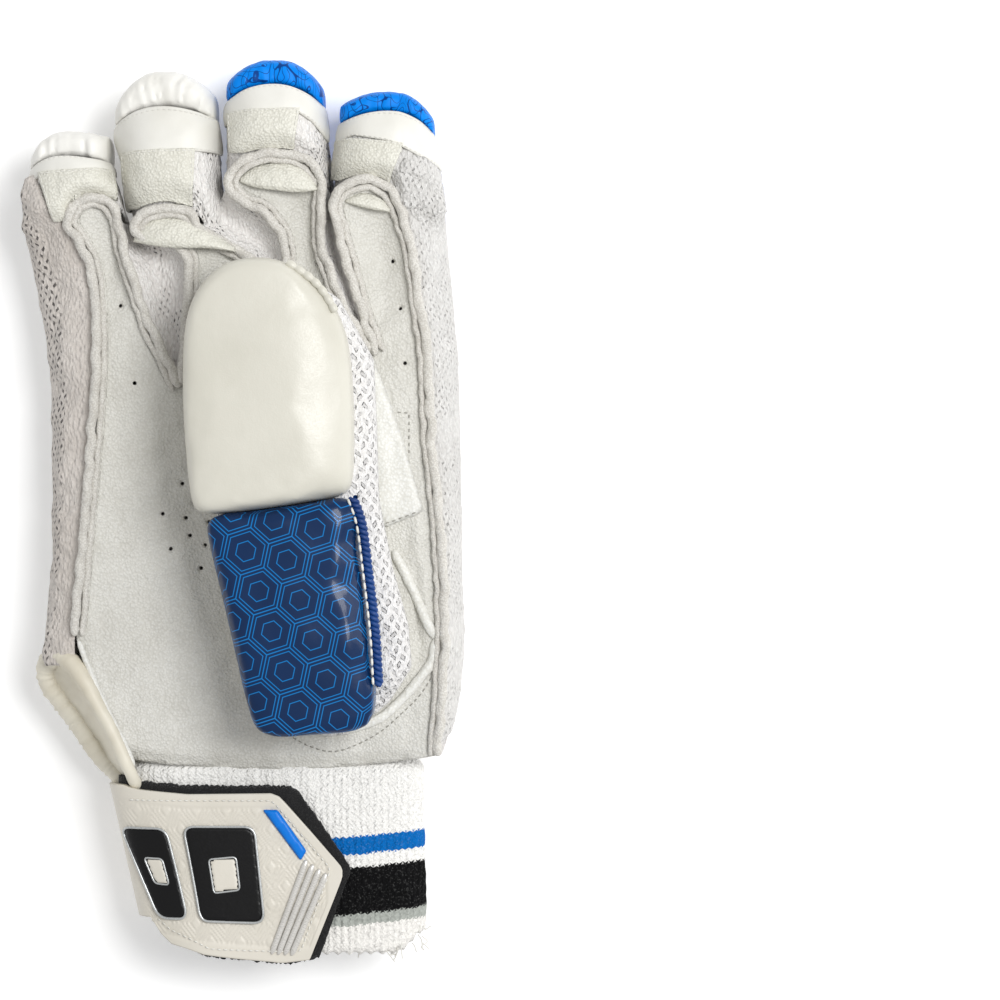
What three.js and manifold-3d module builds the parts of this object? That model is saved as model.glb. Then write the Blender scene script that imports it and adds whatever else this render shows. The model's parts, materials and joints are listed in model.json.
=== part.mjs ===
import * as THREE from "three";
import { mergeVertices } from "three/addons/utils/BufferGeometryUtils.js";
import Module from "manifold-3d";

const wasm = await Module();
wasm.setup();

// A right-hand batting glove that lies on its back, palm up. Millimetres, +X towards the index
// finger, +Y towards the fingertips, +Z up. The origin is under the middle of the glove.

// Driving sizes
const gloveLength = 288;
const gloveWidth = 141.4;
const clearance = 0.3;
const rollHeight = 15;
const backWall = 1.5;
const handDepth = 18;
const tipDepth = 23;
const bandDepth = 19;
const leatherWall = 1.2;
const meshWall = 1.6;
const patchWall = 1;
const lipRadius = 1.9;
const bindingRadius = 2.5;
const holeRadius = 0.8;
const thumbDepth = 18;
const thumbWall = 1.8;
const guardDepth = 18;
const flangeWall = 1.2;
const flangeDepth = 6;
const cuffWall = 3;
const backingWall = 1.6;
const strapWall = 2.6;
const badgeWall = 1;

// The paper pattern has 442 steps across the glove and 900 along it, counted from its middle.
const stepX = gloveWidth / 442;
const stepY = gloveLength / 900;

// Levels above the surface that the glove lies on
const backUnder = rollHeight + clearance;
const backTop = backUnder + backWall;
const insideFloor = backTop + clearance;
const palmLevel = insideFloor + handDepth;

// Fingers: the band row is where the hood meets the tip roll, the front row where the arch ends, and
// the base row where the finger joins the hand. tip holds how far the tip roll reaches. The seams run
// from the arch's ends to their feet on the palm.
const fingers = [
  {
    name: "little", cloth: "white",
    band: { left: -214, leftY: 338, top: 352, right: -135, rightY: 347 },
    tip: { leftY: 352, top: 379, rightY: 374 },
    front: { left: -217, right: -117 },
    arch: { x: -148, half: 24, end: 288, top: 311 },
    base: { left: -209, right: -99 },
    patch: { left: 0.2, right: 0.86, low: 0.34, high: 0.84 },
    leftSeam: [[-161, 270], [-148, 235], [-143, 170], [-145, 110], [-155, -10], [-165, -126]],
    rightSeam: [[-120, 262], [-109, 230], [-93, 185], [-63, 122]],
  },
  {
    name: "ring", cloth: "white",
    band: { left: -129, leftY: 382, top: 401, right: -28, rightY: 390 },
    tip: { leftY: 402, top: 438, rightY: 412 },
    front: { left: -112, right: -19 },
    arch: { x: -74, half: 32, end: 282, top: 300 },
    base: { left: -95, right: -15 },
    patch: { left: 0.08, right: 0.76, low: 0.1, high: 0.56 },
    leftSeam: [[-91, 268], [-64, 260], [-51, 238], [-54, 180], [-59, 126]],
    rightSeam: [[-16, 266], [9, 250], [23, 218], [25, 175], [22, 130]],
  },
  {
    name: "middle", cloth: "blue",
    band: { left: -17, leftY: 407, top: 424, right: 81, rightY: 403 },
    tip: { leftY: 426, top: 449, rightY: 420 },
    front: { left: -18, right: 87 },
    arch: { x: 34, half: 45, end: 328, top: 355 },
    base: { left: -11, right: 105 },
    patch: { left: 0.08, right: 0.74, low: 0.2, high: 0.62 },
    leftSeam: [[-1, 312], [21, 301], [39, 280], [45, 250], [39, 180], [27, 130]],
    rightSeam: [[78, 295], [80, 262], [91, 232], [104, 196], [128, 158]],
  },
  {
    name: "index", cloth: "blue",
    band: { left: 97, leftY: 386, top: 397, right: 193, rightY: 373 },
    tip: { leftY: 402, top: 417, rightY: 388 },
    front: { left: 90, right: 205 },
    arch: { x: 124, half: 31, end: 304, top: 328 },
    base: { left: 109, right: 209 },
    patch: { left: 0.03, right: 0.64, low: 0.14, high: 0.66 },
    leftSeam: [[99, 278], [110, 240], [121, 200], [137, 156]],
    rightSeam: [[168, 268], [176, 215], [184, 160], [189, 70], [199, -30], [202, -130], [195, -246]],
  },
];
const fingerBase = 210;

// Outer edges of the hand at the height of its back, from the fingers to the wrist
const sideEdges = [
  { y: 310, left: -220, right: 200 },
  { y: 270, left: -220, right: 204 },
  { y: 230, left: -211, right: 208 },
  { y: 150, left: -197, right: 215 },
  { y: 90, left: -194, right: 217 },
  { y: -50, left: -194, right: 219 },
  { y: -150, left: -204, right: 221 },
  { y: -205, left: -182, right: 214 },
  { y: -250, left: -152, right: 200 },
];

// Palm edge from the foot of the little finger's outer seam round the wrist
const wristEdge = [[-165, -130], [-144, -190], [-126, -225], [-113, -255], [-81, -261], [-1, -267],
  [89, -266], [159, -259], [195, -251]];

// Dents (positive) and swellings (negative) of the palm leather, depths as shares of the hand's depth
const palmDents = [
  { x: -40, y: -30, wide: 95, long: 150, depth: 0.2 },
  { x: -132, y: 245, wide: 20, long: 46, depth: 0.32 },
  { x: -12, y: 225, wide: 34, long: 48, depth: 0.32 },
  { x: 62, y: 265, wide: 24, long: 62, depth: 0.36 },
  { x: 142, y: 250, wide: 30, long: 58, depth: 0.34 },
  { x: -148, y: 305, wide: 24, long: 14, depth: -0.06 },
  { x: -74, y: 292, wide: 34, long: 18, depth: -0.06 },
  { x: 34, y: 345, wide: 46, long: 20, depth: -0.06 },
  { x: 124, y: 322, wide: 34, long: 16, depth: -0.06 },
];

// Perforations: a star on the palm, turned a little, and single holes on the fingers
const star = { x: -33, y: -12, reach: 47, turn: -10, arms: 8, rings: 2 };
const looseHoles = [[-122, 205], [-107, 127], [75, 247], [151, 250], [159, 202], [164, 147]];

// Thumb stall, from the tip to the base; low and high are shares of its depth above the palm
const stallRows = [
  { y: 232, left: 4, right: 54, low: 0.28, high: 0.82 },
  { y: 207, left: -26, right: 96, low: 0.2, high: 1.02 },
  { y: 148, left: -38, right: 130, low: 0.18, high: 1.1 },
  { y: 79, left: -37, right: 133, low: 0.16, high: 1.12 },
  { y: 10, left: -29, right: 135, low: 0.12, high: 1.1 },
  { y: -60, left: -18, right: 149, low: 0.07, high: 1.06 },
  { y: -120, left: -4, right: 166, low: 0.03, high: 1 },
  { y: -165, left: 8, right: 176, low: 0.02, high: 0.88 },
  { y: -202, left: 26, right: 164, low: 0.02, high: 0.62 },
  { y: -226, left: 60, right: 132, low: 0.02, high: 0.3 },
];
const thumbHole = { x: 100, y: -158, halfX: 44, halfY: 34 };

// Guard pads: crown is a share of the guard's depth, tilt the slope of a row across the pad
const guardTipRows = [
  { y: 246, left: 2, right: 46, crown: 0.45, tilt: 0 },
  { y: 236, left: -20, right: 68, crown: 0.72, tilt: 0 },
  { y: 214, left: -38, right: 92, crown: 0.9, tilt: 0 },
  { y: 180, left: -46, right: 107, crown: 0.98, tilt: 0 },
  { y: 120, left: -46, right: 116, crown: 1, tilt: 6 },
  { y: 55, left: -41, right: 119, crown: 1, tilt: 14 },
  { y: 17, left: -36, right: 121, crown: 0.98, tilt: 24 },
  { y: 10, left: -31, right: 117, crown: 0.86, tilt: 26 },
];
const guardBaseRows = [
  { y: 3, left: -16, right: 120, crown: 0.8, tilt: 26 },
  { y: -5, left: -21, right: 125, crown: 0.92, tilt: 24 },
  { y: -50, left: -14, right: 131, crown: 0.96, tilt: 10 },
  { y: -110, left: -1, right: 139, crown: 0.94, tilt: 2 },
  { y: -160, left: 11, right: 143, crown: 0.9, tilt: 0 },
  { y: -196, left: 21, right: 141, crown: 0.82, tilt: 0 },
  { y: -206, left: 29, right: 134, crown: 0.66, tilt: 0 },
];
const guardSkirt = 0.42;
const flangeRows = [{ y: 12, x: 127 }, { y: -40, x: 134 }, { y: -95, x: 141 }, { y: -150, x: 147 }];

const thumbPatchOutline = [[118, 150], [133, 150], [148, 112], [162, 70], [183, 0], [143, -18], [118, 22]];

// Route of the rolled edge of the wrist slit; lift is 1 on the palm and 0 on the back of the hand
const slitRoute = [
  { x: -109, y: -262, lift: 1 },
  { x: -121, y: -235, lift: 1 },
  { x: -143, y: -192, lift: 1 },
  { x: -164, y: -158, lift: 0.86 },
  { x: -183, y: -145, lift: 0.6 },
  { x: -202, y: -146, lift: 0.3 },
  { x: -212, y: -164, lift: 0.08 },
  { x: -203, y: -188, lift: 0 },
  { x: -184, y: -211, lift: 0 },
  { x: -166, y: -234, lift: 0 },
  { x: -150, y: -254, lift: 0 },
];

// The lining of the slit lies between the two legs of that edge, and hangs a little
const slitTurn = 4;
const liningWall = 1.6;
const liningSag = 1.5;
const liningGap = 1.9;

// Cuff and the strap round it
const cuff = { left: -113, right: 186, top: -250, end: -445 };
const strapRows = [
  { x: 101, top: -356, bottom: -361 },
  { x: 69, top: -321, bottom: -449 },
  { x: 37, top: -285, bottom: -449 },
  { x: -51, top: -285, bottom: -440 },
  { x: -96, top: -281, bottom: -426 },
  { x: -113, top: -278, bottom: -414 },
];
const strapBadges = [
  { name: "strap_badge_left", left: -106, right: -74, top: -318, bottom: -408, slant: 8 },
  { name: "strap_badge_right", left: -56, right: 18, top: -316, bottom: -410, slant: 6 },
];
const accentCorners = [[22, -300], [36, -299], [65, -339], [60, -349]];
const ribs = { count: 4, pitch: 6.4, wide: 3.4, highX: 64, highY: -347, fall: 6, lowX: 32, lowY: -441 };
const backingRim = 5;
const cuffBottom = strapWall + backingWall + 2 * clearance;
const cuffTop = palmLevel - leatherWall - clearance - 0.2 * clearance;

// Materials
const finishes = {
  palm: new THREE.MeshStandardMaterial({ color: 0xe4e6e4, roughness: 0.55, metalness: 0 }),
  leather: new THREE.MeshStandardMaterial({ color: 0xecebe6, roughness: 0.5, metalness: 0 }),
  ivory: new THREE.MeshStandardMaterial({ color: 0xe3e0d2, roughness: 0.45, metalness: 0 }),
  mesh: new THREE.MeshStandardMaterial({ color: 0xf2f2f4, roughness: 0.85, metalness: 0 }),
  white: new THREE.MeshStandardMaterial({ color: 0xf1f0ec, roughness: 0.45, metalness: 0 }),
  blue: new THREE.MeshStandardMaterial({ color: 0x0c78e8, roughness: 0.4, metalness: 0 }),
  navy: new THREE.MeshStandardMaterial({ color: 0x10306e, roughness: 0.35, metalness: 0 }),
  knit: new THREE.MeshStandardMaterial({ color: 0xf3f3f3, roughness: 0.95, metalness: 0 }),
  black: new THREE.MeshStandardMaterial({ color: 0x0d0d0f, roughness: 0.9, metalness: 0 }),
  strap: new THREE.MeshStandardMaterial({ color: 0xe8e5dc, roughness: 0.45, metalness: 0 }),
  silver: new THREE.MeshStandardMaterial({ color: 0xb9bab8, roughness: 0.35, metalness: 0.4 }),
};

const glove = new THREE.Group();

function add(name, solid, finish) {
  const geometry = solid.isBufferGeometry ? solid : toGeometry(solid);
  const mesh = new THREE.Mesh(geometry, finishes[finish].clone());
  mesh.name = name;
  glove.add(mesh);
}

// Solids

function signedVolume(points, triangles) {
  let volume = 0;
  for (const [a, b, c] of triangles) {
    volume += points[a].dot(new THREE.Vector3().crossVectors(points[b], points[c])) / 6;
  }
  return volume;
}

function closed(points, triangles) {
  const outward = signedVolume(points, triangles) > 0;
  const order = triangles.map(([a, b, c]) => (outward ? [a, b, c] : [a, c, b]));
  const geometry = new THREE.BufferGeometry();
  const flat = points.flatMap((p) => [p.x, p.y, p.z]);
  geometry.setAttribute("position", new THREE.Float32BufferAttribute(flat, 3));
  geometry.setIndex(order.flat());
  return geometry;
}

function toManifold(geometry) {
  const merged = geometry.clone();
  merged.deleteAttribute("normal");
  merged.deleteAttribute("uv");
  const joined = mergeVertices(merged, 1e-5);
  const mesh = new wasm.Mesh({
    numProp: 3,
    vertProperties: new Float32Array(joined.attributes.position.array),
    triVerts: new Uint32Array(joined.index.array),
  });
  return new wasm.Manifold(mesh);
}

function toGeometry(solid) {
  const mesh = solid.getMesh();
  const geometry = new THREE.BufferGeometry();
  geometry.setAttribute("position", new THREE.BufferAttribute(mesh.vertProperties, 3));
  geometry.setIndex(new THREE.BufferAttribute(mesh.triVerts, 1));
  return geometry;
}

// The largest body of a trimmed solid, without the crumbs that a cut leaves.
function trimmed(solid) {
  const bodies = solid.decompose();
  return bodies.reduce((best, body) => (body.volume() > best.volume() ? body : best));
}

// A closed wall: a skin of columns by rows cells, and the same skin moved to its other side.
function wall(skin, otherSide, columns, rows) {
  const points = [];
  for (const side of [skin, otherSide]) {
    for (let row = 0; row <= rows; row += 1) {
      for (let column = 0; column <= columns; column += 1) {
        points.push(side(column / columns, row / rows));
      }
    }
  }
  const width = columns + 1;
  const layer = width * (rows + 1);
  const triangles = [];
  const quad = (a, b, c, d) => triangles.push([a, b, c], [a, c, d]);
  for (let row = 0; row < rows; row += 1) {
    for (let column = 0; column < columns; column += 1) {
      const a = row * width + column;
      quad(a, a + 1, a + 1 + width, a + width);
      quad(layer + a, layer + a + width, layer + a + 1 + width, layer + a + 1);
    }
  }
  for (let column = 0; column < columns; column += 1) {
    const far = rows * width + column;
    quad(column, layer + column, layer + column + 1, column + 1);
    quad(far + 1, layer + far + 1, layer + far, far);
  }
  for (let row = 0; row < rows; row += 1) {
    const near = row * width;
    const far = near + columns;
    quad(near + width, layer + near + width, layer + near, near);
    quad(far, layer + far, layer + far + width, far + width);
  }
  return closed(points, triangles);
}

// The skin moved along its own normal.
function lifted(skin, height) {
  const small = 1e-3;
  return (u, v) => {
    const here = skin(u, v);
    const across = skin(u + small, v).sub(skin(u - small, v));
    const along = skin(u, v + small).sub(skin(u, v - small));
    const normal = across.cross(along).normalize();
    return here.addScaledVector(normal, height);
  };
}

// A closed body through rings of points, each end closed by a fan.
function loft(rings) {
  const count = rings[0].length;
  const points = rings.flat();
  const triangles = [];
  for (let ring = 0; ring < rings.length - 1; ring += 1) {
    for (let side = 0; side < count; side += 1) {
      const next = (side + 1) % count;
      const a = ring * count + side;
      const b = ring * count + next;
      triangles.push([a, b, b + count], [a, b + count, a + count]);
    }
  }
  for (const [ring, forward] of [[0, false], [rings.length - 1, true]]) {
    const middle = new THREE.Vector3();
    rings[ring].forEach((point) => middle.addScaledVector(point, 1 / count));
    const hub = points.push(middle) - 1;
    for (let side = 0; side < count; side += 1) {
      const a = ring * count + side;
      const b = ring * count + ((side + 1) % count);
      triangles.push(forward ? [a, b, hub] : [b, a, hub]);
    }
  }
  return closed(points, triangles);
}

// A round or oval roll along a route of points, its section upright across the route.
function roll(route, radius, sides) {
  const up = new THREE.Vector3(0, 0, 1);
  const rings = route.map((point, index) => {
    const before = route[Math.max(index - 1, 0)];
    const after = route[Math.min(index + 1, route.length - 1)];
    const forward = after.clone().sub(before).normalize();
    const side = new THREE.Vector3().crossVectors(forward, up).normalize();
    const top = new THREE.Vector3().crossVectors(side, forward);
    return Array.from({ length: sides }, (_, i) => {
      const angle = ((i + 0.5) / sides) * 2 * Math.PI;
      const out = point.clone().addScaledVector(side, radius * Math.cos(angle));
      return out.addScaledVector(top, radius * Math.sin(angle));
    });
  });
  return loft(rings);
}

function prism(outline, low, high) {
  const shape = new THREE.Shape(outline.map((point) => new THREE.Vector2(point.x, point.y)));
  const geometry = new THREE.ExtrudeGeometry(shape, { depth: high - low, bevelEnabled: false });
  return geometry.translate(0, 0, low);
}

// Small tools for tables and curves

const mix = THREE.MathUtils.lerp;
const onPattern = ([x, y]) => new THREE.Vector3(x * stepX, y * stepY, 0);

function lookUp(rows, key, at, column) {
  const rising = rows[0][key] < rows[rows.length - 1][key];
  const sorted = rising ? rows : [...rows].reverse();
  const last = sorted.length - 1;
  if (at <= sorted[0][key]) return sorted[0][column];
  if (at >= sorted[last][key]) return sorted[last][column];
  const next = sorted.findIndex((row) => row[key] > at);
  const share = (at - sorted[next - 1][key]) / (sorted[next][key] - sorted[next - 1][key]);
  return mix(sorted[next - 1][column], sorted[next][column], share);
}

function smooth(points, pieces) {
  return new THREE.CatmullRomCurve3(points, false, "centripetal").getPoints(pieces);
}

const superPower = (value, power) => Math.sign(value) * Math.abs(value) ** power;

// Palm leather

function palmTop(x, y) {
  let z = palmLevel;
  for (const dent of palmDents) {
    const across = (x / stepX - dent.x) / dent.wide;
    const along = (y / stepY - dent.y) / dent.long;
    z -= dent.depth * handDepth * Math.exp(-(across ** 2) - along ** 2);
  }
  return z;
}

function seamPoints(finger) {
  const { x, half, end, top } = finger.arch;
  const left = [...finger.leftSeam].reverse().map(onPattern);
  const right = finger.rightSeam.map(onPattern);
  const arch = [0, 1, 2, 3, 4].map((i) => {
    const angle = Math.PI * (1 - i / 4);
    return onPattern([x + half * Math.cos(angle), end + (top - end) * Math.sin(angle)]);
  });
  return { left, arch, right };
}

function seamRoute(finger) {
  const { left, arch, right } = seamPoints(finger);
  const points = [...left, ...arch, ...right];
  return smooth(points, Math.round(1.35 * points.length));
}

function palmOutline() {
  const outline = fingers.flatMap((finger) => seamRoute(finger));
  const wrist = wristEdge.map(onPattern).reverse();
  return [...outline, ...wrist];
}

const palmColumns = 15;
const palmRowsAt = [-270, -200, -120, -40, 40, 110, 155, 195, 225, 255, 285, 315, 358];

function palmSlab(under, over) {
  const rows = palmRowsAt.length - 1;
  const place = (u, v) => {
    const row = Math.round(v * rows);
    const x = mix(-178, 208, u) * stepX;
    const y = palmRowsAt[row] * stepY;
    return new THREE.Vector3(x, y, palmTop(x, y));
  };
  const raised = (height) => (u, v) => place(u, v).add(new THREE.Vector3(0, 0, height));
  return toManifold(wall(raised(over), raised(-under), palmColumns, rows));
}

function needle([x, y]) {
  const centre = onPattern([x, y]);
  const outline = Array.from({ length: 5 }, (_, i) => {
    const angle = (i / 5) * 2 * Math.PI;
    return new THREE.Vector2(
      centre.x + holeRadius * Math.cos(angle),
      centre.y + holeRadius * Math.sin(angle),
    );
  });
  return toManifold(prism(outline, 0, 2 * palmLevel));
}

function perforations() {
  const holes = [...looseHoles, [star.x, star.y]];
  for (let arm = 0; arm < star.arms; arm += 1) {
    const angle = THREE.MathUtils.degToRad(star.turn + (360 * arm) / star.arms);
    for (let ring = 1; ring <= star.rings; ring += 1) {
      const out = (star.reach * ring) / star.rings;
      holes.push([star.x + out * Math.cos(angle), star.y + out * Math.sin(angle)]);
    }
  }
  return holes;
}

function thumbWay(grow) {
  const centre = onPattern([thumbHole.x, thumbHole.y]);
  const outline = Array.from({ length: 14 }, (_, i) => {
    const angle = (i / 14) * 2 * Math.PI;
    return new THREE.Vector2(
      centre.x + (thumbHole.halfX * stepX + grow) * Math.cos(angle),
      centre.y + (thumbHole.halfY * stepY + grow) * Math.sin(angle),
    );
  });
  return outline;
}

function palmLeather() {
  const blank = toManifold(prism(palmOutline(), 0, 2 * palmLevel));
  let palm = palmSlab(leatherWall, 0).intersect(blank);
  palm = palm.subtract(toManifold(prism(thumbWay(0), 0, 2 * palmLevel)));
  for (const hole of perforations()) {
    palm = palm.subtract(needle(hole));
  }
  return palm;
}

function palmRoomSolid() {
  const blank = toManifold(prism(palmOutline(), 0, 2 * palmLevel));
  return palmSlab(leatherWall + clearance, clearance).intersect(blank);
}

const palmRoom = palmRoomSolid();
add("palm_leather", palmLeather(), "palm");

// Raised seams round the finger strips

function seamLip(finger, grow) {
  const route = seamRoute(finger);
  route.forEach((point) => {
    point.z = palmTop(point.x, point.y) + lipRadius;
  });
  return toManifold(roll(route, lipRadius + grow, 5));
}

const overPalm = palmSlab(palmLevel, clearance);
const lipRoom = fingers.map((finger) => seamLip(finger, clearance));

fingers.forEach((finger, index) => {
  let lip = seamLip(finger, 0).subtract(overPalm);
  if (index > 0) lip = lip.subtract(lipRoom[index - 1]);
  add(`${finger.name}_seam_lip`, lip, "leather");
});

// Fingertip hoods, their patches and the rolls round the tips

function bandY(finger, share) {
  const { leftY, top, rightY } = finger.band;
  const level = mix(leftY, rightY, share);
  return level + (top - level) * (1 - (2 * share - 1) ** 2);
}

function tipY(finger, share) {
  const { leftY, top, rightY } = finger.tip;
  const level = mix(leftY, rightY, share);
  return level + (top - level) * (1 - Math.abs(2 * share - 1) ** 2.4);
}

function frontY(finger, x) {
  const { half, end, top } = finger.arch;
  const reach = half + (lipRadius + clearance) / stepX;
  const offset = (x - finger.arch.x) / reach;
  const rise = top - end + (lipRadius + clearance) / stepY;
  const open = Math.max(0, 1 - offset ** 2);
  return end + clearance / stepY + rise * Math.sqrt(open);
}

function hoodSkin(finger) {
  return (u, v) => {
    const angle = Math.PI * (1 - u);
    const across = (1 + superPower(Math.cos(angle), 0.7)) / 2;
    const up = superPower(Math.sin(angle), 0.7);
    const frontX = mix(finger.front.left, finger.front.right, across);
    const bandX = mix(finger.band.left, finger.band.right, across);
    const x = mix(frontX, bandX, v);
    const y = mix(frontY(finger, frontX), bandY(finger, across), v);
    const z = insideFloor + mix(tipDepth, bandDepth, Math.max(v, 0) ** 1.5) * up;
    return new THREE.Vector3(x * stepX, y * stepY, z);
  };
}

function hood(finger) {
  const skin = hoodSkin(finger);
  const inner = lifted(skin, -leatherWall);
  const level = (side) => (u, v) => {
    const point = side(u, v);
    point.z = Math.max(point.z, insideFloor);
    return point;
  };
  return toManifold(wall(skin, level(inner), 14, 3));
}

function hoodRoom(finger) {
  const skin = lifted(hoodSkin(finger), clearance);
  const longer = (u, v) => skin(u, mix(-0.04, 1.04, v));
  const floor = (u, v) => longer(u, v).setZ(backTop);
  return toManifold(wall(longer, floor, 14, 3));
}

function tipPatch(finger) {
  const { left, right, low, high } = finger.patch;
  const skin = hoodSkin(finger);
  const inset = (u, v) => skin(mix(left, right, u) * 0.6 + 0.2, mix(low, high, v));
  const lift = 2 * clearance;
  return wall(lifted(inset, lift + patchWall), lifted(inset, lift), 5, 2);
}

function tipRoll(finger) {
  const stations = [-1, -0.9, -0.65, -0.3, 0, 0.3, 0.65, 0.9, 1];
  const rings = stations.map((station) => {
    const share = (station + 1) / 2;
    const full = (1 - 0.55 * Math.abs(station) ** 6);
    const near = bandY(finger, share) * stepY + clearance;
    const far = Math.max(tipY(finger, share) * stepY, near + 2);
    const x = mix(finger.band.left, finger.band.right, share) * stepX;
    const halfUp = full * (insideFloor + bandDepth) * 0.46;
    const middle = (insideFloor + bandDepth) * 0.52;
    return Array.from({ length: 10 }, (_, i) => {
      const angle = ((i + 0.5) / 10) * 2 * Math.PI;
      const across = superPower(Math.cos(angle), 0.75);
      const y = near + (far - near) * (across + 1) / 2;
      return new THREE.Vector3(x, y, middle + halfUp * superPower(Math.sin(angle), 0.75));
    });
  });
  return loft(rings);
}

fingers.forEach((finger, index) => {
  const cover = fingers.reduce((left, other, i) => {
    return Math.abs(i - index) < 2 ? left.subtract(lipRoom[i]) : left;
  }, hood(finger));
  add(`${finger.name}_tip_cover`, cover, "leather");
  add(`${finger.name}_tip_patch`, tipPatch(finger), "ivory");
  add(`${finger.name}_tip_roll`, tipRoll(finger), finger.cloth);
});

// Mesh walls between the fingers and at the sides

function gussetBetween(leftFinger, rightFinger, leftIndex) {
  const start = (finger, side) => onPattern([finger.arch.x + side * finger.arch.half, finger.arch.end]);
  const leftEdge = [start(leftFinger, 1), ...leftFinger.rightSeam.map(onPattern)];
  const rightEdge = [start(rightFinger, -1), ...rightFinger.leftSeam.map(onPattern)];
  const leftCurve = new THREE.CatmullRomCurve3(leftEdge, false, "centripetal");
  const rightCurve = new THREE.CatmullRomCurve3(rightEdge, false, "centripetal");
  const skin = (u, v) => {
    const along = mix(0.04, 0.9, v);
    const a = leftCurve.getPointAt(along);
    const b = rightCurve.getPointAt(along);
    const point = a.clone().lerp(b, mix(0.06, 0.94, u));
    const edge = mix(palmTop(a.x, a.y), palmTop(b.x, b.y), u);
    const depth = 0.55 * handDepth * (1 - along) ** 0.6 * Math.sin(Math.PI * u);
    point.z = Math.max(edge - depth, insideFloor + 2 * meshWall);
    return point;
  };
  const under = (u, v) => skin(u, v).add(new THREE.Vector3(0, 0, -meshWall));
  const near = [lipRoom[leftIndex], lipRoom[leftIndex + 1], hoodRoom(leftFinger), hoodRoom(rightFinger)];
  const blank = toManifold(wall(skin, under, 4, 8)).subtract(palmRoom);
  return trimmed(near.reduce((left, room) => left.subtract(room), blank));
}

function gussetOutside(finger, index, side, lowY) {
  const seam = side < 0 ? finger.leftSeam : finger.rightSeam;
  const end = [finger.arch.x + side * finger.arch.half, finger.arch.end];
  const seamRows = [end, ...seam].map(([x, y]) => ({ x, y }));
  const column = side < 0 ? "left" : "right";
  const highY = finger.arch.end - 1;
  const skin = (u, v) => {
    const y = mix(highY, lowY, v);
    const topX = lookUp(seamRows, "y", y, "x") + side * 3 * clearance / stepX;
    const lowX = lookUp(sideEdges, "y", y, column);
    const bend = (u * Math.PI) / 2;
    const x = mix(topX, lowX, Math.sin(bend) ** 0.9);
    const topZ = palmTop(topX * stepX, y * stepY) - clearance;
    const z = mix(insideFloor, topZ, Math.max(0, Math.cos(bend)) ** 0.9);
    return new THREE.Vector3(x * stepX, y * stepY, z);
  };
  const towards = side < 0 ? 1 : -1;
  const inner = (u, v) => {
    const point = skin(u, v);
    const flat = (u * Math.PI) / 2;
    point.x += towards * meshWall * Math.sin(flat);
    point.z = Math.max(insideFloor, point.z - meshWall * Math.cos(flat));
    return point;
  };
  return trimmed(toManifold(wall(skin, inner, 5, 9)).subtract(lipRoom[index]).subtract(palmRoom));
}

add("gusset_little_outer", gussetOutside(fingers[0], 0, -1, -126), "mesh");
add("gusset_little_ring", gussetBetween(fingers[0], fingers[1], 0), "mesh");
add("gusset_ring_middle", gussetBetween(fingers[1], fingers[2], 1), "mesh");
add("gusset_middle_index", gussetBetween(fingers[2], fingers[3], 2), "mesh");
add("gusset_index_outer", gussetOutside(fingers[3], 3, 1, -244), "mesh");

// Back of the hand: its base cloth and the padded rolls under it

function backOutline() {
  const tips = fingers.flatMap((finger) => [
    onPattern([finger.base.left, fingerBase]),
    onPattern([finger.band.left, finger.band.leftY]),
    onPattern([mix(finger.band.left, finger.band.right, 0.5), finger.band.top]),
    onPattern([finger.band.right, finger.band.rightY]),
    onPattern([finger.base.right, fingerBase]),
  ]);
  const below = sideEdges.filter((row) => row.y < fingerBase);
  const right = below.map((row) => onPattern([row.right, row.y]));
  const left = [...below].reverse().map((row) => onPattern([row.left, row.y]));
  return [...tips, ...right, ...left];
}

add("hand_back", prism(backOutline(), backUnder, backTop), "mesh");

const rollSection = [[-1, 0.42], [-1, 0.8], [-0.82, 1], [0.82, 1], [1, 0.8], [1, 0.42], [0.5, 0], [-0.5, 0]];

function backRoll(lowY, highY, edgesAt) {
  const stations = [-1, -0.8, 0, 0.8, 1];
  const middle = (lowY + highY) / 2;
  const half = (highY - lowY) / 2 - clearance / stepY;
  const rings = stations.map((station) => {
    const size = Math.abs(station) === 1 ? 0.62 : 1;
    return rollSection.map(([along, up]) => {
      const y = middle + half * along * size;
      const { left, right } = edgesAt(y);
      const x = mix(left, right, (station + 1) / 2);
      const z = rollHeight * (1 - (1 - up) * size);
      return new THREE.Vector3(x * stepX, y * stepY, z);
    });
  });
  return loft(rings);
}

function fingerEdges(finger) {
  return (y) => {
    const topY = (finger.band.leftY + finger.band.rightY) / 2;
    const share = (y - fingerBase) / (topY - fingerBase);
    return {
      left: mix(finger.base.left, finger.band.left, share) + 3,
      right: mix(finger.base.right, finger.band.right, share) - 3,
    };
  };
}

for (const finger of fingers) {
  const topY = Math.min(finger.band.leftY, finger.band.rightY);
  const middleY = (topY + fingerBase) / 2;
  add(`${finger.name}_roll_mid`, backRoll(middleY, topY, fingerEdges(finger)), finger.cloth);
  add(`${finger.name}_roll_base`, backRoll(fingerBase, middleY, fingerEdges(finger)), "white");
}

const backPads = 5;
const backPadEnd = cuff.top + 4;
const padInset = 10;

for (let pad = 0; pad < backPads; pad += 1) {
  const highY = mix(fingerBase, backPadEnd, pad / backPads);
  const lowY = mix(fingerBase, backPadEnd, (pad + 1) / backPads);
  const edgesAt = (y) => ({
    left: lookUp(sideEdges, "y", y, "left") + padInset,
    right: lookUp(sideEdges, "y", y, "right") - padInset,
  });
  add(`back_pad_${pad + 1}`, backRoll(lowY, highY, edgesAt), "white");
}

// Thumb stall: a hollow tube that is open towards the palm at its base

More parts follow.
